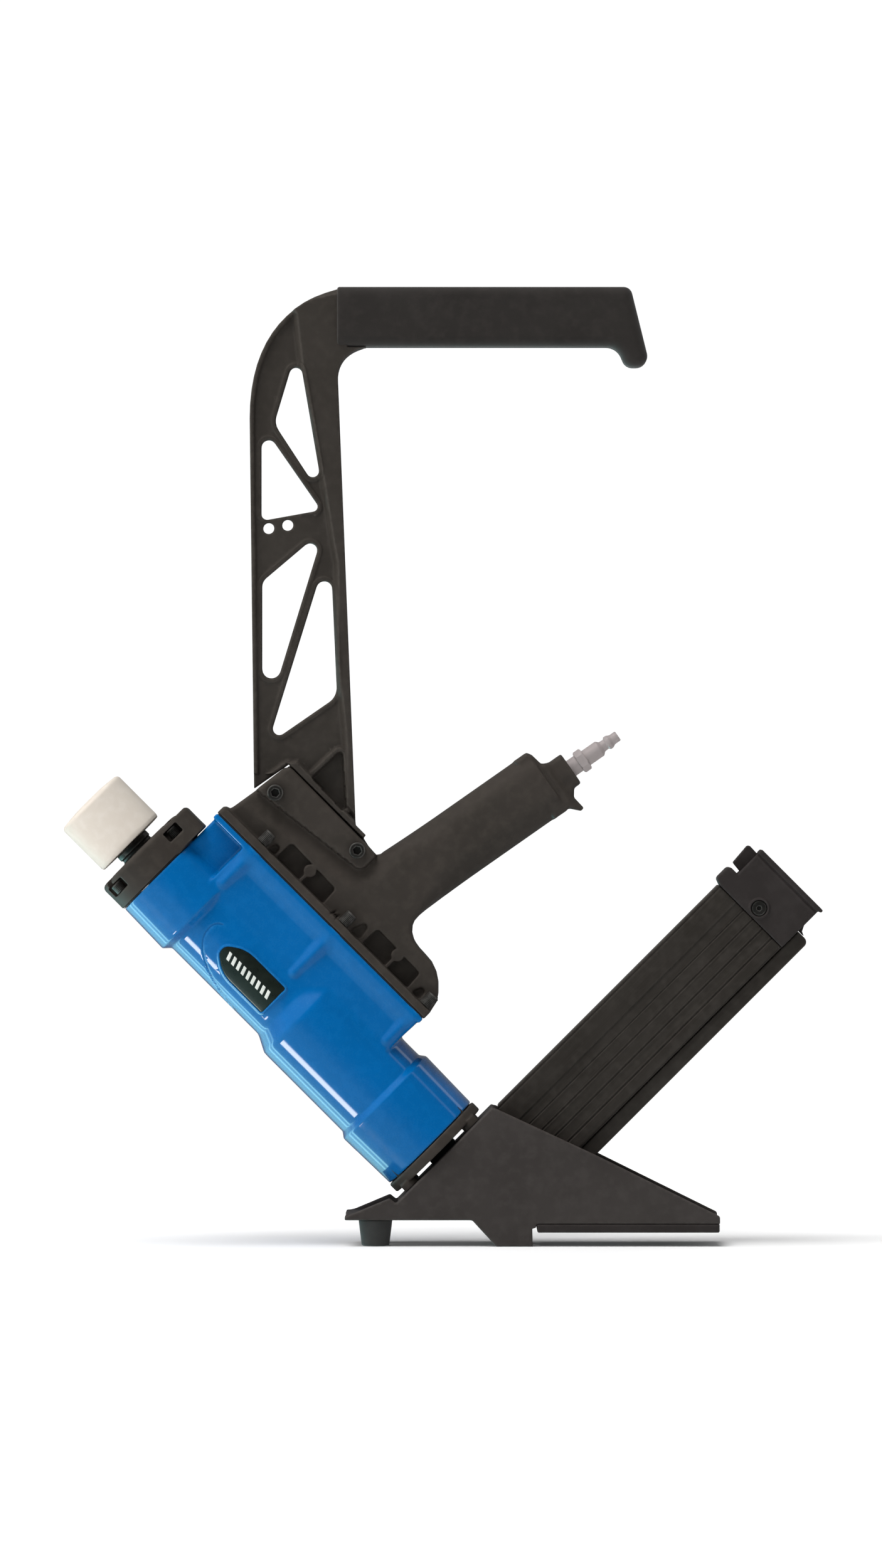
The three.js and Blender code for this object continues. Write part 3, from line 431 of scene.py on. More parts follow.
PLUG_STEEL = finish("plug_steel", ((170, 161, 160), (176, 167, 166), (182, 173, 172)), (0.4, 0.5),
                    (500, 0.0000006), metal=0.3)
DARK_STEEL = finish("black_oxide_steel", ((44, 42, 40), (52, 50, 48), (62, 60, 57)), (0.34, 0.48),
                    (1500, 0.00001), metal=0.6, worn=((136, 134, 130), 0.6))
SPRING = finish("spring_steel", ((120, 120, 124), (144, 144, 148), (168, 168, 172)), (0.25, 0.4),
                (1500, 0.00001), metal=0.9)
BADGE = finish("badge_face", ((18, 24, 21), (24, 32, 27), (34, 42, 36)), (0.25, 0.4),
               (1800, 0.00001), coat=0.3)
BARS = finish("badge_bars", ((196, 202, 196), (216, 222, 216), (232, 236, 232)), (0.35, 0.5),
              (1800, 0.00001))


def piece(name, mesh, place, body, material, nodes=()):
    """Makes an object of the mesh, in place, riding on a body and standing for CAD nodes."""
    made = bpy.data.objects.new(name, mesh)
    bpy.context.scene.collection.objects.link(made)
    made.matrix_world = place
    if not mesh.materials:
        mesh.materials.append(material)
    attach(made, body)
    if nodes:
        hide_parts(*nodes)


# ---- The barrel ----
def four(x, y):
    """The four corners of a rectangle about the axis."""
    return [(x, y), (x, -y), (-x, y), (-x, -y)]


NOSE_BOLTS = four(28.75, 22)
CAP_BOLTS = four(26.5, 17)
FLANGE_BOLTS = (168, 246.5, 324.5)
BOSSES = ((169, 5, 26), (246.5, 5.2, 14), (324, 6, 22))  # Height, radius and where each starts in x.
BOSS_MIDDLE = 27.9
BARREL_TOP = 359.1
BOX_HALF, FLARE, LIP_FACE = 29, 5, 57
LIP_ENDS = (162, 360.5)
BADGE_OUTLINE = [(5.3, 243, 1.2), (5.3, 281, 24), (-6, 296.5, 6), (-18, 281, 24), (-18, 243, 1.2)]
BADGE_SPAN = (-20, -34, 241), (8, -22, 299)
NECK_RADIUS = 30.7


def housing():
    g = Grid((-42, -41.5, 96.5), (59, 41.5, 362), 0.6)
    core = g.lathe([
        (0, 98), (39.1, 98, 1.2), (40, 142, 2), (37, 146, 1.5), (37, 222, 7), (NECK_RADIUS, 234, 7),
        (NECK_RADIUS, 317.5, 3), (35.6, 322, 2), (34.7, BARREL_TOP, 0.8), (0, BARREL_TOP),
    ], steps=8)
    # The box widens towards its lip. Its two upper shoulders are cut back.
    flare = np.abs(g.y) - BOX_HALF - FLARE * ease((g.x - 41) / 12.5)
    box = meet(meet(between(g.z, 163.5, BARREL_TOP), between(g.x, -8, LIP_FACE), 3), flare, 3)
    for side in (1, -1):
        box = carve(box, g.block((10, 53), sorted((19 * side, 60 * side)), (331.5, 400), 2), 2)
    body = weld(core, box, 2.2)
    lip = meet(g.block((53, LIP_FACE), (-40, 40), LIP_ENDS, 1.2), flare, 1)
    body = weld(body, lip, 1)
    for side in (1, -1):
        for height, radius, start in BOSSES:
            swell = radius * (0.5 + 0.5 * ease((g.x - start) / (LIP_FACE - start)))
            rib = np.hypot(g.y - side * BOSS_MIDDLE, g.z - height) - swell
            rib = meet(rib, start - g.x, radius * 0.6)
            body = weld(body, meet(rib, g.x - LIP_FACE + 1), 2.6)
    # A fine arched groove and the badge's raised frame, both on the near side only.
    reach, near = np.hypot(g.x, g.y), g.y + 5
    arch = bezier((-31, 254), (-27, 290), (-16, 309), (-2, 309))
    arch += bezier((-2, 309), (2, 309), (5, 307), (6.5, 303))
    groove = line(arch, g.x[:, 0, :], g.z[0])[:, None, :] - 0.45
    groove = np.maximum(np.maximum(groove, near), NECK_RADIUS - 0.55 - reach)
    body = carve(body, groove, 0.2)
    front = np.maximum(g.side(rounded(BADGE_OUTLINE)), near)
    body = weld(body, meet(np.maximum(front - 1.6, 28 - reach), reach - NECK_RADIUS - 1.3, 0.5), 0.8)
    body = carve(body, np.maximum(front - 0.1, NECK_RADIUS + 0.1 - reach))
    bore = g.lathe([
        (0, 90), (31, 90), (31, 140), (30.3, 140), (30.3, 226), (24, 230), (16, 230), (16, 233), (24, 233),
        (24, 370), (0, 370),
    ])
    body = carve(body, bore)
    body = carve(body, g.block((40, 60), (-14, 14), (176, 346), 2))
    return g.mesh("housing_shell", body)


def badge_plate():
    g = Grid(*BADGE_SPAN, 0.3)
    reach = np.hypot(g.x, g.y)
    plate = meet(g.side(rounded(BADGE_OUTLINE)), np.abs(reach - NECK_RADIUS - 0.75) - 0.5, 0.3)
    return g.mesh("badge_face", plate, 0.05)


def badge_bars():
    """A plain row of slanted bars on the badge."""
    g = Grid(*BADGE_SPAN, 0.3)
    reach = np.hypot(g.x, g.y)
    left, right, first, pitch, tall, slant = -9, -3.4, 246.5, 4.6, 2.6, 0.35
    rise = slant * (right - left)
    bars = np.minimum.reduce([
        g.side([(left, low), (right, low + rise), (right, low + tall + rise), (left, low + tall)])
        for low in (first + pitch * k for k in range(9))
    ])
    bars = meet(bars, np.abs(reach - NECK_RADIUS - 1.35) - 0.3, 0.2)
    return g.mesh("badge_bars", bars, 0.05)


def nose_flange():
    """The disc under the barrel, with a spacer round each bolt."""
    g = Grid((-41.5, -41.5, 86), (41.5, 41.5, 99), 0.5)
    disc = g.lathe([(0, 90.2), (40, 90.2, 1.2), (40, 97.5, 1.2), (0, 97.5)])
    for x, y in NOSE_BOLTS:
        disc = weld(disc, g.rod(6.2, 86.4, 92, (x, y, 0), edge=0.4), 0.8)
    disc = carve(disc, g.block((-9.3, 13.3), (-10.3, 10.3), (80, 100)))
    return g.mesh("nose_flange_plate", disc)


def cylinder_cap():
    low, top = 360.2, 380.5
    g = Grid((-37, -37, 358.5), (46.5, 37, 382.5), 0.5)
    body = g.lathe([(0, low), (35.5, low, 0.6), (35.5, top, 3.6), (0, top)])
    reach = g.prism([(-10, -28), (44.5, -28, 5), (44.5, 28, 5), (-10, 28)], low, top, 0, "z")
    reach = meet(reach, g.z - top, 3.6)
    body = weld(body, reach, 3)
    for x, y in CAP_BOLTS:
        ys = sorted((math.copysign(11, y), math.copysign(50, y)))
        body = carve(body, g.block((x - 6, x + 6), ys, (369, 376.6), 0.8), 0.5)
        body = carve(body, g.rod(4.7, 369, 390, (x, y, 0)), 0.5)
    body = carve(body, g.rod(13.9, 365, 390), 0.8)
    body = carve(body, g.rod(5.5, 350, 390))
    return g.mesh("cylinder_cap_casting", body)


def plunger():
    """The rod that the strike cap pushes, with its ribbed collar."""
    g = Grid((-15, -15, 250), (15, 15, 406), 0.4)
    stem = g.lathe([
        (0, 252), (5, 252, 0.5), (5, 377), (13.5, 377, 0.6), (13.5, 381.2), (12.6, 381.7), (12.6, 383.4),
        (13.5, 383.9), (13.5, 387.9, 0.8), (7.5, 387.9), (7.5, 404, 0.6), (0, 404),
    ])
    return g.mesh("plunger_rod", stem)


def strike_cap():
    g = Grid((-28.5, -28.5, 386.5), (28.5, 28.5, 431.5), 0.5)
    cap = g.lathe([
        (0, 388.2), (25.9, 388.2, 0.9), (26.6, 390.5, 0.8), (26.6, 428, 3), (14, 429.4, 30), (0, 429.7),
    ], steps=10)
    cap = carve(cap, g.rod(7.8, 380, 404.5))
    cap = carve(cap, g.rod(18.5, 380, 389.6), 0.6)
    return g.mesh("strike_cap_head", cap)


piece("housing_shell", housing(), DRIVE, "tool", BLUE, ["body_housing"])
piece("badge_face", badge_plate(), DRIVE, "tool", BADGE, ["badge_plate"])
piece("badge_bars", badge_bars(), DRIVE, "tool", BARS)
piece("nose_flange_plate", nose_flange(), DRIVE, "tool", CAST, ["nose_flange"])
piece("cylinder_cap_casting", cylinder_cap(), DRIVE, "tool", CAST, ["cylinder_cap"])
piece("plunger_rod", plunger(), DRIVE, "plunger", DARK_STEEL, ["plunger_stem"])
piece("strike_cap_head", strike_cap(), DRIVE, "plunger", WHITE, ["strike_cap"])


# ---- The handle casting and the air plug ----
GRIP_BOTTOM, GRIP_TOP, GRIP_HALF, GRIP_AXIS = 229.8, 277.5, 19, 251.3
BRACKET_BOLTS = [(106.5, 275), (94.8, 342.5)]


def turned(a, b, angle):
    """A place in axes that are turned by that angle."""
    c, s = math.cos(angle), math.sin(angle)
    return a * c - b * s, a * s + b * c


def handle_casting():
    g = Grid((57, -35.5, 160.5), (254, 35.5, 362), 0.7)
    x, z = g.x[:, 0, :], g.z[0]
    along, square = turned(x, z, GRIP_DROP)
    inset = 4
    neck_line = [
        (63, 228.3), (70, 229.8), (130, GRIP_BOTTOM + inset), (130, GRIP_TOP - inset), (71, GRIP_TOP),
        (68.3, 277),
    ]
    outline = [
        (50, 162), (65, 162), (72, 163.5), (77, 167), (82, 172), (86, 178), (88.5, 185), (89, 192),
        (89.3, 199), (90.5, 204), (93, 208.5), (97, 212), *[turned(*p, -GRIP_DROP) for p in neck_line],
        (113.6, 263.5), (113.2, 262), (114, 276), (114.5, 345), (114, 348), (111, 350.3), (90, 353),
        (86, 353.2), (68, 356), (65, 357), (62.5, 360.3), (50, 360.5),
    ]
    side = area(outline, x, z)
    pad = area(rounded([(98, 263, 6), (86.6, 356), (120, 356), (120, 263, 3)]), x, z)
    # The casting turns from a thin web with a thick bracket into the round grip.
    half = np.where(pad < 0, 20, 15 + 6.5 * ease(pad / 15))
    grown = ease((along - 58) / 56)
    half = half * (1 - grown) + 18.8 * grown
    body = meet(side[:, None, :], np.abs(g.y) - half[:, None, :], (3.2 + 12.6 * grown)[:, None, :])
    flange = g.block((50, 64), (-34, 34), LIP_ENDS, 1.6)
    body = weld(body, meet(flange, 58.2 - g.x), 1.8)
    # The grip: a rounded bar along its own axis.
    curve = 16
    upright = between(square, GRIP_BOTTOM + curve, GRIP_TOP - curve)[:, None, :]
    across = np.abs(g.y) - (GRIP_HALF - curve)
    bar = np.hypot(np.maximum(upright, 0), np.maximum(across, 0))
    bar = bar + np.minimum(np.maximum(upright, across), 0) - curve
    bar = meet(bar, between(along, 60, 191)[:, None, :], 2)
    body = weld(body, bar, 3)
    neck = area(rounded([
        (180, GRIP_TOP), (189.5, GRIP_TOP, 1), (192.3, 274.5, 1), (194, 266, 2), (199, 262.8, 2),
        (208.5, 262.8), (208.5, 239.8, 1), (203.5, 239.6, 2.5), (199.4, 234, 2.5), (200.8, 224.2, 1),
        (198, 223.6, 1), (192, GRIP_BOTTOM, 3), (180, GRIP_BOTTOM),
    ]), along, square)[:, None, :]
    width = 15 - 4 * ease((along - 194) / 6)
    neck = meet(neck, np.abs(g.y) - width[:, None, :], 3)
    body = weld(body, neck, 1.5)
    collar = np.hypot(g.y, (square - GRIP_AXIS)[:, None, :]) - 11.7
    collar = meet(collar, between(along, 180, 208.5)[:, None, :], 1)
    body = weld(body, collar, 2)
    # Cast pockets behind the flange, each pair parted by a thin wall and a round boss.
    for low, high, boss, reach in ((184.5, 228, 205, 75.3), (266, 311, 288, 73.8)):
        hollow = area(rounded([
            (64.2, low, 1), (64.2, high, 1), (78.6, high - 0.5, 2.5), (77.4, low + 1, 2.5),
        ]), x, z)
        wall = np.abs(z - boss) - 1.1
        knob = np.hypot(x - reach, z - boss) - 4.4
        solid = weld(np.maximum(wall, x - reach), knob, 1.2)
        hollow = carve(hollow, solid, 0.8)[:, None, :]
        body = carve(body, meet(hollow, 12.5 - np.abs(g.y), 0.8), 0.7)
    # Scoops beside the bolts.
    for low, high, deep in ((231, 240.5, 82), (252.5, 257, 76), (312.5, 319.5, 79), (173, 181, 78)):
        scoop = area(rounded([(64.2, low, 2), (64.2, high, 2), (deep, (low + high) / 2 - 2, 2.5)]), x, z)
        body = carve(body, meet(scoop[:, None, :], 18.6 - np.abs(g.y), 1.5), 1.5)
    body = carve(body, g.block((85, 130), (-6.3, 6.3), (264, 370)), 0.6)
    for reach, height in BRACKET_BOLTS:
        body = carve(body, g.rod(4.3, -40, 40, (reach, 0, height), "y"))
    return g.mesh("handle_casting_body", body)


PLUG = GRIP @ Matrix.Translation((0, 0, GRIP_AXIS * MM)) @ Matrix.Rotation(math.pi / 2, 4, "Y")


def air_plug():
    g = Grid((-9, -9, 207), (9, 9, 249.5), 0.22)
    body = g.lathe([
        (0, 208), (6.4, 208), (6.4, 209), (6.1, 209.6), (6.1, 215.5), (5.8, 221.5, 0.4), (5.8, 233, 0.8),
        (3.9, 235, 0.6), (3.7, 238.2, 0.5), (4.9, 239.3, 0.4), (4.9, 241.2, 0.5), (3.7, 243.6, 0.8),
        (3.7, 248.3, 0.6), (0, 248.3),
    ])
    nut = g.prism(hexagon(8.2), 215.5, 221.5, 0.3, "z")
    cone = g.lathe([(0, 210), (7.2, 215.5), (8.3, 216.4), (8.3, 220.6), (7.2, 221.5), (0, 227)])
    body = weld(body, np.maximum(nut, cone), 0.3)
    return g.mesh("air_plug_body", carve(body, g.rod(2, 225, 260), 0.3))


piece("handle_casting_body", handle_casting(), DRIVE, "tool", CAST, ["handle_casting"])
piece("air_plug_body", air_plug(), PLUG, "tool", PLUG_STEEL, ["air_plug"])


# ---- The tall handle ----
WINDOWS = [
    [(-160.2, 615.8, 4.5), (-142.1, 510, 4.3), (-176.3, 562.3, 12)],
    [(-185, 561.9, 5), (-144, 502.8, 3.5), (-185, 495.4, 4)],
    [(-142, 490, 5), (-184.5, 351.2, 6.4), (-184.5, 454, 8)],
    [(-137.9, 480.4, 5.5), (-133.2, 375, 12), (-180.9, 342.1, 4.5)],
]
EYES = [(-180, 490.3), (-167, 492.5)]
ARM_OUTLINE = [
    (-190, 312), *bezier((-193, 566), (-193, 614), (-171.5, 644), (-133.4, 654), 14), (-133.4, 654),
    (-126, 655), (-126, 614.5), *bezier((-113, 614.5), (-124, 612), (-132, 606), (-132.7, 594)),
    (-132.7, 594), (-120.5, 287), (-113.5, 280), (-115.5, 277.7), (-166.3, 328.5),
]
# The inner rail stands proud of the web on the right of this line.
CREST = [
    (-168, 645), (-162, 636), (-158, 600), (-150, 560), (-143, 520), (-137, 482), (-134, 466),
    (-133.5, 400), (-128, 345), (-128, 300), (-100, 270), (-100, 660),
]
WEB_HALF = 6


def long_handle():
    g = Grid((-194.5, -20, 252), (-104, 20, 657), 0.6)
    x, z = g.x[:, 0, :], g.z[0]
    side = area(ARM_OUTLINE, x, z)

    def raised(height, distance, slope):
        """How far an area stands out, fading across its edge."""
        return height * ease(0.5 - distance / slope)

    half = WEB_HALF + raised(6.8, area(CREST, x, z), 5)
    rim = np.where((z > 322) & (x < -150), -side - 3.2, 9)  # A thin flange along the outer edge.
    half = np.maximum(half, WEB_HALF + raised(3, rim, 2.4))
    recess = area(rounded([
        (-149, 499.5), (-149, 493.5, 2), (-175, 470.5, 3), (-181, 469, 3), (-185.3, 472, 2),
        (-185.3, 494.5), (-160, 499.5),
    ]), x, z)
    half = half - raised(1.6, recess, 1.6)
    windows = np.minimum.reduce([area(rounded(w, 8), x, z) for w in WINDOWS])
    half = half + raised(0.9, np.abs(windows - 1.8) - 1.6, 1.2)
    foot = area([(-168, 330), (-113.5, 275.5), (-111, 280), (-160, 331)], x, z)
    half = np.maximum(half, WEB_HALF + raised(11, foot, 2))
    gusset = area(rounded([(-150.5, 319.5, 2), (-129.5, 339, 2), (-126.6, 294, 2)]), x, z)
    half = np.maximum(half, WEB_HALF + raised(5.5, np.abs(gusset - 2) - 1.9, 1.6))
    half = np.where(gusset < 0, 5 - 1.5 * ease(-gusset / 1.5), half)
    body = meet(side[:, None, :], np.abs(g.y) - half[:, None, :], 1)
    body = carve(body, windows[:, None, :], 1)
    for ex, ez in EYES:
        body = carve(body, g.rod(3.8, -30, 30, (ex, 0, ez), "y"), 0.8)
    # The tongue that the bracket holds.
    reach, height = turned(x, z, -LEAN)
    tongue = area(rounded([
        (88, 334), (98, 268, 3), (113, 268, 3), (116, 281), (116, 345), (114, 349), (88.5, 352),
    ]), reach, height)
    tongue = meet(tongue[:, None, :], np.abs(g.y) - WEB_HALF, 0.6)
    for bolt_reach, bolt_height in BRACKET_BOLTS:
        bolt = np.hypot(reach - bolt_reach, height - bolt_height) - 4.3
        tongue = carve(tongue, bolt[:, None, :])
    body = weld(body, tongue, 0.5)
    return g.mesh("long_handle_arm", body)


def top_grip():
    """The sleeve on the tall handle's level arm, with its downward hook."""
    g = Grid((-134.5, -17.5, 598.5), (83.5, 17.5, 657), 0.6)
    sleeve = g.prism([
        (-160, 614.5), (58.5, 614.5, 11), (64.4, 600.5, 7.4), (81.4, 600.5, 7.6), (67.8, 655.5, 6),
        (-160, 655.5),
    ], -16, 16, 7.2, steps=8)
    return g.mesh("top_grip_sleeve", meet(sleeve, -133 - g.x, 1.5))


piece("long_handle_arm", long_handle(), TOOL, "tool", ARM_CAST, ["long_handle"])
piece("top_grip_sleeve", top_grip(), TOOL, "tool", GRIP_RUBBER, ["top_grip"])


# ---- The shoe ----
SHOE_SIDE = [
    (-127.5, 18), (-127.5, 20), (-97, 32.8, 1), (-92.5, 29.1, 2), (-27.5, 94.1, 1), (-24.5, 93.9, 1),
    (45, 61.6), (128, 20.5, 1), (128, 15.3), (3.6, 15.3), (2.5, 12.5), (0.3, 12), (0.5, 0), (-24.5, 0, 2),
    (-41, 18, 3),
]
WALL_MIDDLE = 33


def base_frame():
    g = Grid((-129, -36.5, -1.5), (130, 36.5, 97), 0.7)
    reach, height = turned(g.x, g.z, -LEAN)
    inner = np.abs(g.y) - WALL_MIDDLE
    body = meet(g.side(rounded(SHOE_SIDE)), np.abs(inner) - 2, 0.7)
    # The sloping top, the rear and front floors and the solid foot, all between the walls.
    top = np.maximum(between(reach, -43.5, 47.5), between(height, 81.9, 86))
    body = weld(body, meet(top, inner, 0.4), 1.2)
    ys = (-WALL_MIDDLE, WALL_MIDDLE)
    body = weld(body, g.block((4, 128), ys, (15.3, 19.3), 0.4), 1.2)
    body = weld(body, g.block((-127, -40), ys, (18, 22), 0.4), 1.2)
    foot = g.side([(-42, 18.1), (-41, 18), (-24.5, 0.2), (0.5, 0.2), (0.3, 12), (-6, 18.1)])
    body = weld(body, meet(foot, inner))
    # The ways for the driven fastener, the nose guide and the magazine's track.
    body = carve(body, g.block((-60, 6), (-11.3, 11.3), (-3, 30)), 0.5)
    passage = np.maximum(between(reach, -9.3, 13.3), between(height, 70, 99))
    body = carve(body, np.maximum(passage, np.abs(g.y) - 10.3), 0.3)
    track = np.maximum(between(reach, 14, 60), between(height, 11.7, 60))
    body = carve(body, np.maximum(track, np.abs(g.y) - 11.6), 0.3)
    return g.mesh("shoe_frame", body)


def sole_plate():
    g = Grid((2, -36.5, 8), (130, 36.5, 16.5), 0.5)
    body = g.prism([(3.6, 9.3, 1.2), (128, 9.3, 1.2), (128, 15), (3.6, 15)], -35, 35, 0.8)
    for reach in (28, 100):
        for side in (22, -22):
            body = carve(body, g.rod(4.6, 0, 12, (reach, side, 0)), 0.4)
    return g.mesh("sole_pad", body)


def rubber_foot():
    """A foot, recessed below for its screw."""
    g = Grid((-13, -13, -1), (13, 13, 19), 0.35)
    body = g.lathe([(0, 0), (9.4, 0, 1.2), (11.6, 17.7, 0.6), (0, 17.7)])
    return g.mesh("rubber_foot", carve(body, g.rod(5.4, -5, 6), 0.5))


piece("shoe_frame", base_frame(), TOOL, "tool", SHOE, ["base_frame"])
piece("sole_pad", sole_plate(), TOOL, "tool", PLASTIC, ["sole_plate"])
foot_mesh = rubber_foot()
for number in (1, 2):
    spot = middle(f"rear_foot_{number}")
    place = Matrix.Translation((spot.x, spot.y, 0))
    piece(f"rubber_foot_{number}", foot_mesh, place, "tool", FOOT_RUBBER,
          [f"rear_foot_{number}"])


# ---- The magazine ----
def magazine_shell():
    g = Grid((2.5, -15.5, 21.5), (266, 15.5, 85.5), 0.45)
    shell_half = 14
    body = g.block((-20, 300), (-shell_half, shell_half), (22.8, 84), 1.1)
    # Fine grooves, a broad channel and shallow panels. Each is (height, half its width, depth, edge).
    fine = [(height, 0.5, 0.8, 0.3) for height in (32.2, 41.2, 50.5, 59.5, 66)]
    ends = [(82, 0.45, 0.6, 0.3), (23.6, 0.5, 0.8, 0.3)]
    panels = [(height, 3.2, 0.25, 0.4) for height in (36.7, 45.8, 55)]
    for height, wide, deep, edge in [*fine, *ends, (62.8, 2.4, 0.6, 0.5), *panels]:
        groove = np.maximum(np.abs(g.z - height) - wide, shell_half - deep - np.abs(g.y))
        body = carve(body, groove, edge)
    side = [(4, 22.8), (264.5, 22.8), (264.5, 84, 0.8), (49.5, 84, 3), (49.5, 78.6, 2), (4, 78.6)]
    body = meet(body, g.prism(side, -20, 20), 0.5)
    hollow = g.block((-30, 300), (-11.3, 11.3), (10, 76), 0.5)
    hollow = np.minimum(hollow, g.block((50, 300), (-11.3, 11.3), (70, 80), 0.5))
    return g.mesh("magazine_body", carve(body, hollow))


def magazine_track():
    """The fixed strip that the magazine slides along, and its two rails."""
    g = Grid((2.5, -12.5, 11), (282, 12.5, 76.5), 0.5)
    strip = g.prism([(18, 12.3, 1.5), (280.5, 12.3, 4), (280.5, 22.5, 0.6), (18, 22.5)], -11, 11, 1.2)
    strip = carve(strip, g.block((0, 262), (-2.2, 2.2), (18.5, 40)))
    for side in (1, -1):
        rail = g.block((4, 262), sorted((side * 4, side * 7.5)), (21.5, 75), 0.4)
        strip = weld(strip, rail, 0.5)
    return g.mesh("magazine_rail", strip)


END_SCREW = (272.8, 0, 52.8)
LATCH_PIN = (291, 0, 50)


def end_cap():
    """The magazine's end block: its end plate, the latch's slot, a spigot and a boss round the screw."""
    g = Grid((261.5, -19, 19), (304, 18, 90), 0.4)
    body = g.prism([
        (264.8, 22.75, 0.2), (302.5, 22.75), (302.5, 79.8, 1), (279, 79.8), (279, 88, 3), (266.7, 88, 3),
        (264.8, 82.8, 0.8),
    ], -16, 16, 1.3)
    plate = [(299.4, 80, 0.8), (302.6, 80, 0.8), (302.6, 20.6, 1), (300.6, 20.6, 0.8), (299.4, 23.5)]
    body = weld(body, g.prism(plate, -16, 16, 0.7), 0.4)
    for side in (1, -1):
        body = carve(body, g.block((297.6, 299), sorted((side * 15.2, side * 30)), (10, 100)), 0.3)
    body = carve(body, g.block((279.2, 299.2), (-7, 7), (10, 100)), 0.5)
    body = weld(body, g.block((262.6, 268), (-10.9, 10.9), (22.8, 79), 0.3))
    body = weld(body, g.rod(7.2, -17.4, -10, END_SCREW, "y", 0.9), 0.8)
    body = carve(body, g.rod(5.6, -30, -13.5, END_SCREW, "y"), 0.5)
    body = carve(body, g.rod(2.3, -12, 12, LATCH_PIN, "y"))
    return g.mesh("magazine_end_block", body)


def latch():
    g = Grid((279.5, -7, 15.5), (300.5, 7, 90.5), 0.35)
    hook = [
        (281, 23), (281, 17), (282.5, 20.4), (287.2, 22.7), (290, 27, 2), (294.5, 50, 20), (295.5, 78.6),
        (298.4, 78.6, 0.6), (298.8, 88.7, 2), (282.3, 87.4, 1.2), (281.4, 78.6, 0.6), (289, 78.6, 1),
        (286, 50, 20), (283.5, 27, 2),
    ]
    body = g.prism(hook, -6, 6, 0.7)
    body = weld(body, g.rod(5, -6, 6, LATCH_PIN, "y", 0.5), 1)
    for k in range(4):
        ridge = (285.5 + 2.6 * k, 0, 88.3 + 0.2 * k)
        body = carve(body, g.rod(0.7, -20, 20, ridge, "y"), 0.2)
    return g.mesh("latch_lever", carve(body, g.rod(2.3, -20, 20, LATCH_PIN, "y")))


piece("magazine_body", magazine_shell(), DRIVE, "magazine", ANODISED, ["magazine_shell"])
piece("magazine_rail", magazine_track(), DRIVE, "tool", ANODISED, ["magazine_track"])
piece("magazine_end_block", end_cap(), DRIVE, "magazine", PLASTIC, ["magazine_end_cap"])
piece("latch_lever", latch(), DRIVE, "latch", PLASTIC, ["latch"])


# ---- Screws and nuts ----
FINE_STEP = 0.22


def screw_mesh(name, radius, height, socket, shank, length, flutes=0):
    """A socket-head screw: its head stands on z = 0."""
    g = Grid((-radius - 1, -radius - 1, -length - 1), (radius + 1, radius + 1, height + 1), FINE_STEP)
    head = g.lathe([(0, 0), (radius, 0, 0.3), (radius, height, min(0.9, height * 0.3)), (0, height)])
    if flutes:
        waves = 1 + np.cos(np.arctan2(g.y, g.x) * flutes)
        near_rim = ease((np.hypot(g.x, g.y) - radius + 1) / 0.8)
        below_top = ease((height - 1 - g.z) / 0.6)
        head = head + 0.09 * waves * near_rim * below_top
    head = carve(head, g.prism(hexagon(socket), height * 0.4, height + 5, 0, "z"), 0.25)
    body = weld(head, g.rod(shank, -length, height * 0.3, edge=0.4), 0.3)
    return g.mesh(name, body)


def nut_mesh(name, radius, height, bore):
    g = Grid((-radius - 1, -radius - 1, -1), (radius + 1, radius + 1, height + 1), FINE_STEP)
    flat = radius * math.cos(math.radians(30))
    rim = radius + 0.2
    cone = g.lathe([(0, -4), (flat, 0), (rim, 1.2), (rim, height - 1.2), (flat, height), (0, height + 4)])
    body = np.maximum(g.prism(hexagon(radius), 0, height, 0.2, "z"), cone)
    return g.mesh(name, carve(body, g.rod(bore, -5, 20), 0.4))


def shifted(base, x, y, z):
    """That frame, moved along its own axes."""
    return base @ Matrix.Translation((x * MM, y * MM, z * MM))


def fixing(name, mesh, place, node, body="tool"):
    piece(name, mesh, place, body, DARK_STEEL, [node])


OVER = Matrix.Rotation(math.pi, 4, "X")
FORWARD = Matrix.Rotation(math.pi / 2, 4, "X")
BACKWARD = Matrix.Rotation(-math.pi / 2, 4, "X")
SIDEWAYS = Matrix.Rotation(math.pi / 2, 4, "Y")

nose_screw = screw_mesh("nose_screw", 5, 5, 2.3, 3, 27, 28)
cap_screw = screw_mesh("cap_screw", 4, 6.5, 2.1, 2.5, 23, 24)
flange_screw = screw_mesh("flange_screw", 4.3, 9.4, 2.2, 2.5, 21, 26)
handle_screw = screw_mesh("handle_screw", 5.6, 5, 3, 4, 44)
sole_screw = screw_mesh("sole_screw", 4, 1.9, 1.6, 2, 8.5)
foot_screw = screw_mesh("foot_screw", 5, 3.5, 2, 2.5, 17)
handle_nut = nut_mesh("handle_nut", 7.2, 6.5, 4.2)
end_screw = screw_mesh("end_screw", 5.2, 2.5, 1.7, 3, 23)

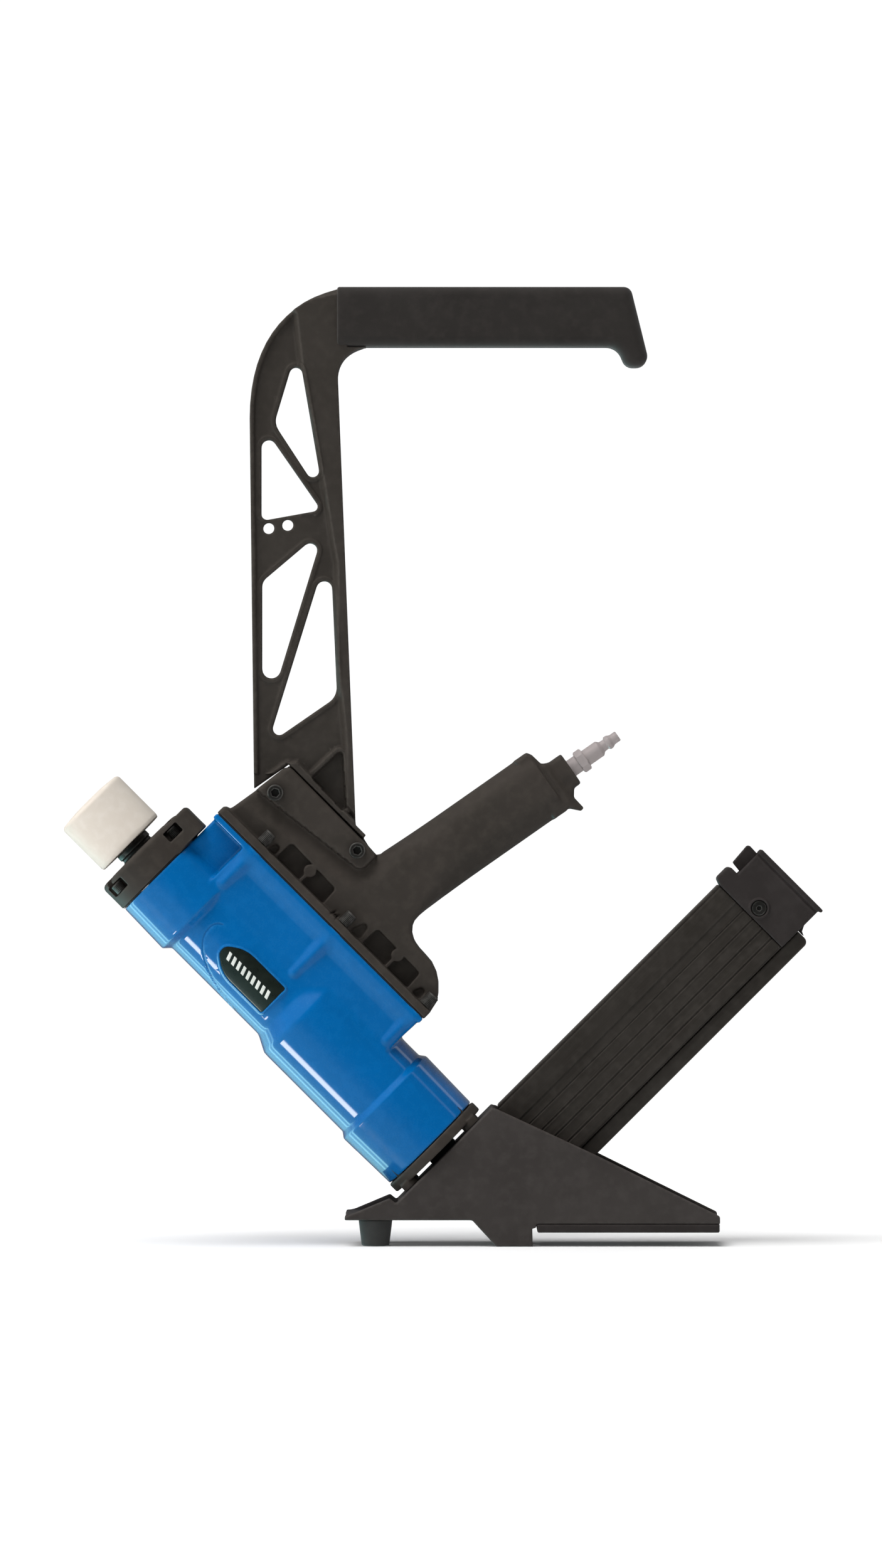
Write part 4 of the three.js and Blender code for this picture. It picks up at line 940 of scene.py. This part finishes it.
for number, (x, y) in enumerate(NOSE_BOLTS, 1):
    fixing(f"nose_screw_{number}", nose_screw, shifted(DRIVE, x, y, 82.4) @ OVER, f"nose_bolt_{number}")
for number, (x, y) in enumerate(CAP_BOLTS, 1):
    fixing(f"cap_screw_{number}", cap_screw, shifted(DRIVE, x, y, 369.3), f"cap_bolt_{number}")
for row, height in enumerate(FLANGE_BOLTS):
    for column, y in enumerate((28.5, -28.5)):
        number = row * 2 + column + 1
        place = shifted(DRIVE, 64.3, y, height) @ SIDEWAYS
        fixing(f"flange_screw_{number}", flange_screw, place, f"flange_bolt_{number}")
for number, (reach, height) in enumerate(BRACKET_BOLTS, 1):
    place = shifted(DRIVE, reach, -20.3, height) @ FORWARD
    fixing(f"handle_screw_{number}", handle_screw, place, f"handle_bolt_{number}")
    place = shifted(DRIVE, reach, 20.3, height) @ BACKWARD
    fixing(f"handle_nut_{number}b", handle_nut, place, f"handle_nut_{number}")
for number in range(1, 5):
    spot = middle(f"sole_screw_{number}")
    place = Matrix.Translation((spot.x, spot.y, 11.7 * MM)) @ OVER
    fixing(f"sole_fixing_{number}", sole_screw, place, f"sole_screw_{number}")
for number in (1, 2):
    spot = middle(f"foot_screw_{number}")
    place = Matrix.Translation((spot.x, spot.y, 5.7 * MM)) @ OVER
    fixing(f"foot_fixing_{number}", foot_screw, place, f"foot_screw_{number}")
place = shifted(DRIVE, END_SCREW[0], -13.8, END_SCREW[2]) @ FORWARD
fixing("end_block_screw", end_screw, place, "end_cap_screw", "magazine")

# ---- CAD nodes that stay, with their own finishes ----
KEPT = {
    "cylinder_sleeve": STEEL, "bumper": GRIP_RUBBER, "main_piston": STEEL, "piston_seal": GRIP_RUBBER,
    "driver_blade": STEEL, "head_valve": PLASTIC, "head_valve_spring": SPRING, "cap_gasket": GRIP_RUBBER,
    "firing_valve": PLASTIC, "plunger_spring": SPRING, "handle_gasket": GRIP_RUBBER, "nose_guide": DARK_STEEL,
    "latch_pin": STEEL, "pusher": STEEL, "pusher_spring": SPRING,
}
for name, material in KEPT.items():
    node = frame["nodes"][name]
    node.data.materials.clear()
    node.data.materials.append(material)
    node.data.shade_smooth()
    node.data.set_sharp_from_angle(angle=math.radians(32))


# ---- Stage ----
def stage():
    """A pale floor that glows with painted light, faintly near the tool and more away from it."""
    mesh = bpy.data.meshes.new("floor")
    wide, near, far = 3.0, 2.5, 1.5
    corners = [(-wide, -near, 0), (wide, -near, 0), (wide, far, 0), (-wide, far, 0)]
    mesh.from_pydata(corners, [], [(0, 1, 2, 3)])
    floor = bpy.data.objects.new("floor", mesh)
    floor.location.z = -0.2 * MM
    bpy.context.scene.collection.objects.link(floor)
    look = Look("floor")
    look.shader.inputs["Base Color"].default_value = (0.8, 0.8, 0.8, 1)
    look.links.new(look.spread(look.noise(3), 0.6, 0.75), look.shader.inputs["Roughness"])
    look.shader.inputs["Specular IOR Level"].default_value = 0.1
    look.shader.inputs["Emission Color"].default_value = (1, 1, 1, 1)
    # Painted light: the floor's emission grows with distance from the tool.
    away = look.node("ShaderNodeVectorMath", {0: look.place}, operation="LENGTH").outputs["Value"]
    shine = look.spread(away, 0.03, 0.4, start=0.15, end=0.6)
    look.links.new(shine, look.shader.inputs["Emission Strength"])
    floor.visible_glossy = False
    mesh.materials.append(look.material)


# What glossy surfaces mirror. Each entry is an angle round the driving axis from its near side, in degrees, a
# share of the brightest, and a tint. Neighbours blend into each other, so two alike are a soft box.
GLOW_STRENGTH = 20.0
CLEAR = (1, 1, 1)
CYAN = (0.5, 1, 1)
GLOW = [
    (-180, 0.01, CLEAR), (-115, 0.01, CLEAR), (-112, 0.06, CLEAR), (-107, 0.06, CLEAR), (-104, 0.003, CLEAR),
    (-84, 0.002, CLEAR), (-82, 0.03, CLEAR), (-79, 0.03, CLEAR), (-76, 0.0012, CLEAR), (-8, 0.0004, CLEAR),
    (14, 0.001, CYAN), (26, 0.014, CYAN), (58, 0.02, CYAN), (67, 0.035, CYAN), (71, 0.75, CLEAR),
    (80, 0.75, CLEAR), (83, 0.04, CYAN), (104, 0.05, CYAN), (107, 0.3, CYAN), (110, 0.3, CYAN),
    (112, 0.1, CYAN), (118, 0.12, CYAN), (120, 0.24, CYAN), (124, 0.24, CYAN), (126, 0.1, CYAN),
    (140, 0.07, CYAN), (158, 0.01, CLEAR),
]
# The narrow soft box is short. Past its ends, along the axis, its band holds PAST_NARROW instead.
NARROW_ANGLE, NARROW_INNER, NARROW_OUTER = 75.5, 9, 12
NARROW_SHIFT, NARROW_END, NARROW_GONE = 0.0058, 0.024, 0.036
PAST_NARROW = (0.015, 0.03, 0.03, 1)
# Towards the two ends of the axis the bands give way to an even glow.
END_START, END_FULL = 0.35, 0.75
END_GLOW = (0.012, 0.012, 0.012, 1)


def studio_glow(tree):
    """Soft boxes in bands round the driving axis, and a glow off its two ends."""
    def along(axis):
        made = tree.node("ShaderNodeVectorMath", {0: direction, 1: axis}, operation="DOT_PRODUCT")
        return made.outputs["Value"]

    def step(value, start, end):
        return tree.spread(value, 0, 1, start, end, "SMOOTHSTEP")

    direction = tree.node("ShaderNodeTexCoord").outputs["Generated"]
    lengthwise = along(DRIVE.to_3x3() @ Vector((0, 0, 1)))
    across = along(DRIVE.to_3x3() @ Vector((-1, 0, 0)))
    turn = tree.math("ARCTAN2", across, along((0, -1, 0)))
    share = tree.math("MULTIPLY_ADD", turn, 0.5 / math.pi, 0.5)
    bands = tree.node("ShaderNodeValToRGB", {0: share})
    stops = bands.color_ramp.elements
    while len(stops) < len(GLOW):
        stops.new(0.5)
    for stop, (degrees, level, tint) in zip(stops, GLOW):
        stop.position = degrees / 360 + 0.5
        stop.color = (*[level * part for part in tint], 1)
    off_narrow = tree.math("ABSOLUTE", tree.math("SUBTRACT", share, 0.5 + NARROW_ANGLE / 360))
    narrow = step(off_narrow, NARROW_OUTER / 360, NARROW_INNER / 360)
    past = step(tree.math("ABSOLUTE", tree.math("ADD", lengthwise, NARROW_SHIFT)), NARROW_END, NARROW_GONE)
    colour = tree.blend(tree.math("MULTIPLY", narrow, past), bands.outputs[0], PAST_NARROW)
    return tree.blend(step(tree.math("ABSOLUTE", lengthwise), END_START, END_FULL), colour, END_GLOW)


# Name, energy, apparent width in degrees, and the direction that the light comes from.
SUNS = (("left_sky", 0.6, 60, (-0.58, -0.33, 0.74)), ("overhead", 3.0, 40, (-0.25, -0.22, 0.94)))
# Name, place, size and radiance. Both softboxes face the tool.
LAMPS = (("front", (-1.6, -3.2, 1.0), (1.2, 1.2), 3.0), ("left", (-2.5, -0.5, 0.6), (0.8, 1.6), 5.5))
LAMPS_FACE = (0, 0, 0.3)
AMBIENT, BACKDROP = 0.2, 1.05


def add_light(data, direction, spot=(0, 0, 0)):
    """Puts a light there that shines from that direction and leaves no reflection."""
    made = bpy.data.objects.new(data.name, data)
    made.location = spot
    made.rotation_mode = "QUATERNION"
    made.rotation_quaternion = Vector(direction).to_track_quat("Z", "Y")
    made.visible_camera = made.visible_glossy = False
    bpy.context.scene.collection.objects.link(made)


def world():
    """White for the camera, the studio glow for glossy rays, and a dim even light for the rest."""
    made = bpy.data.worlds.new("studio")
    bpy.context.scene.world = made
    tree = Tree(made)
    white = (1, 1, 1, 1)

    def background(colour, strength):
        return tree.node("ShaderNodeBackground", {"Color": colour, "Strength": strength}).outputs[0]

    surface = background(white, AMBIENT)
    glow = background(studio_glow(tree), GLOW_STRENGTH)
    path = tree.node("ShaderNodeLightPath")
    for ray, seen in (("Is Glossy Ray", glow), ("Is Camera Ray", background(white, BACKDROP))):
        surface = tree.node("ShaderNodeMixShader", {0: path.outputs[ray], 1: surface, 2: seen}).outputs[0]
    tree.links.new(surface, tree.nodes["World Output"].inputs["Surface"])


def lights():
    for name, energy, wide, direction in SUNS:
        sun = bpy.data.lights.new(name, "SUN")
        sun.energy, sun.angle = energy, math.radians(wide)
        add_light(sun, direction)
    for name, spot, size, radiance in LAMPS:
        lamp = bpy.data.lights.new(name, "AREA")
        lamp.shape = "RECTANGLE"
        lamp.size, lamp.size_y = size
        lamp.energy = radiance * math.pi * size[0] * size[1]
        add_light(lamp, Vector(spot) - Vector(LAMPS_FACE), spot)


def camera():
    """Level with the middle of the tool, looking square at its side through a long lens."""
    data = bpy.data.cameras.new("camera")
    data.lens, data.sensor_width, data.clip_end = 200, 36, 100
    made = bpy.data.objects.new("camera", data)
    tall, eye, shift = 1.075, 0.3152, -0.0003  # What the frame takes in at the tool, and the lens's place.
    middle_x = (CAD_LOW.x + CAD_HIGH.x) / 2
    made.location = (middle_x + shift, -tall * data.lens / data.sensor_width, CAD_LOW.z + eye)
    made.rotation_euler = (math.pi / 2, 0, 0)
    bpy.context.scene.collection.objects.link(made)
    bpy.context.scene.camera = made


stage()
world()
lights()
camera()
bpy.context.scene.view_settings.view_transform = "Standard"
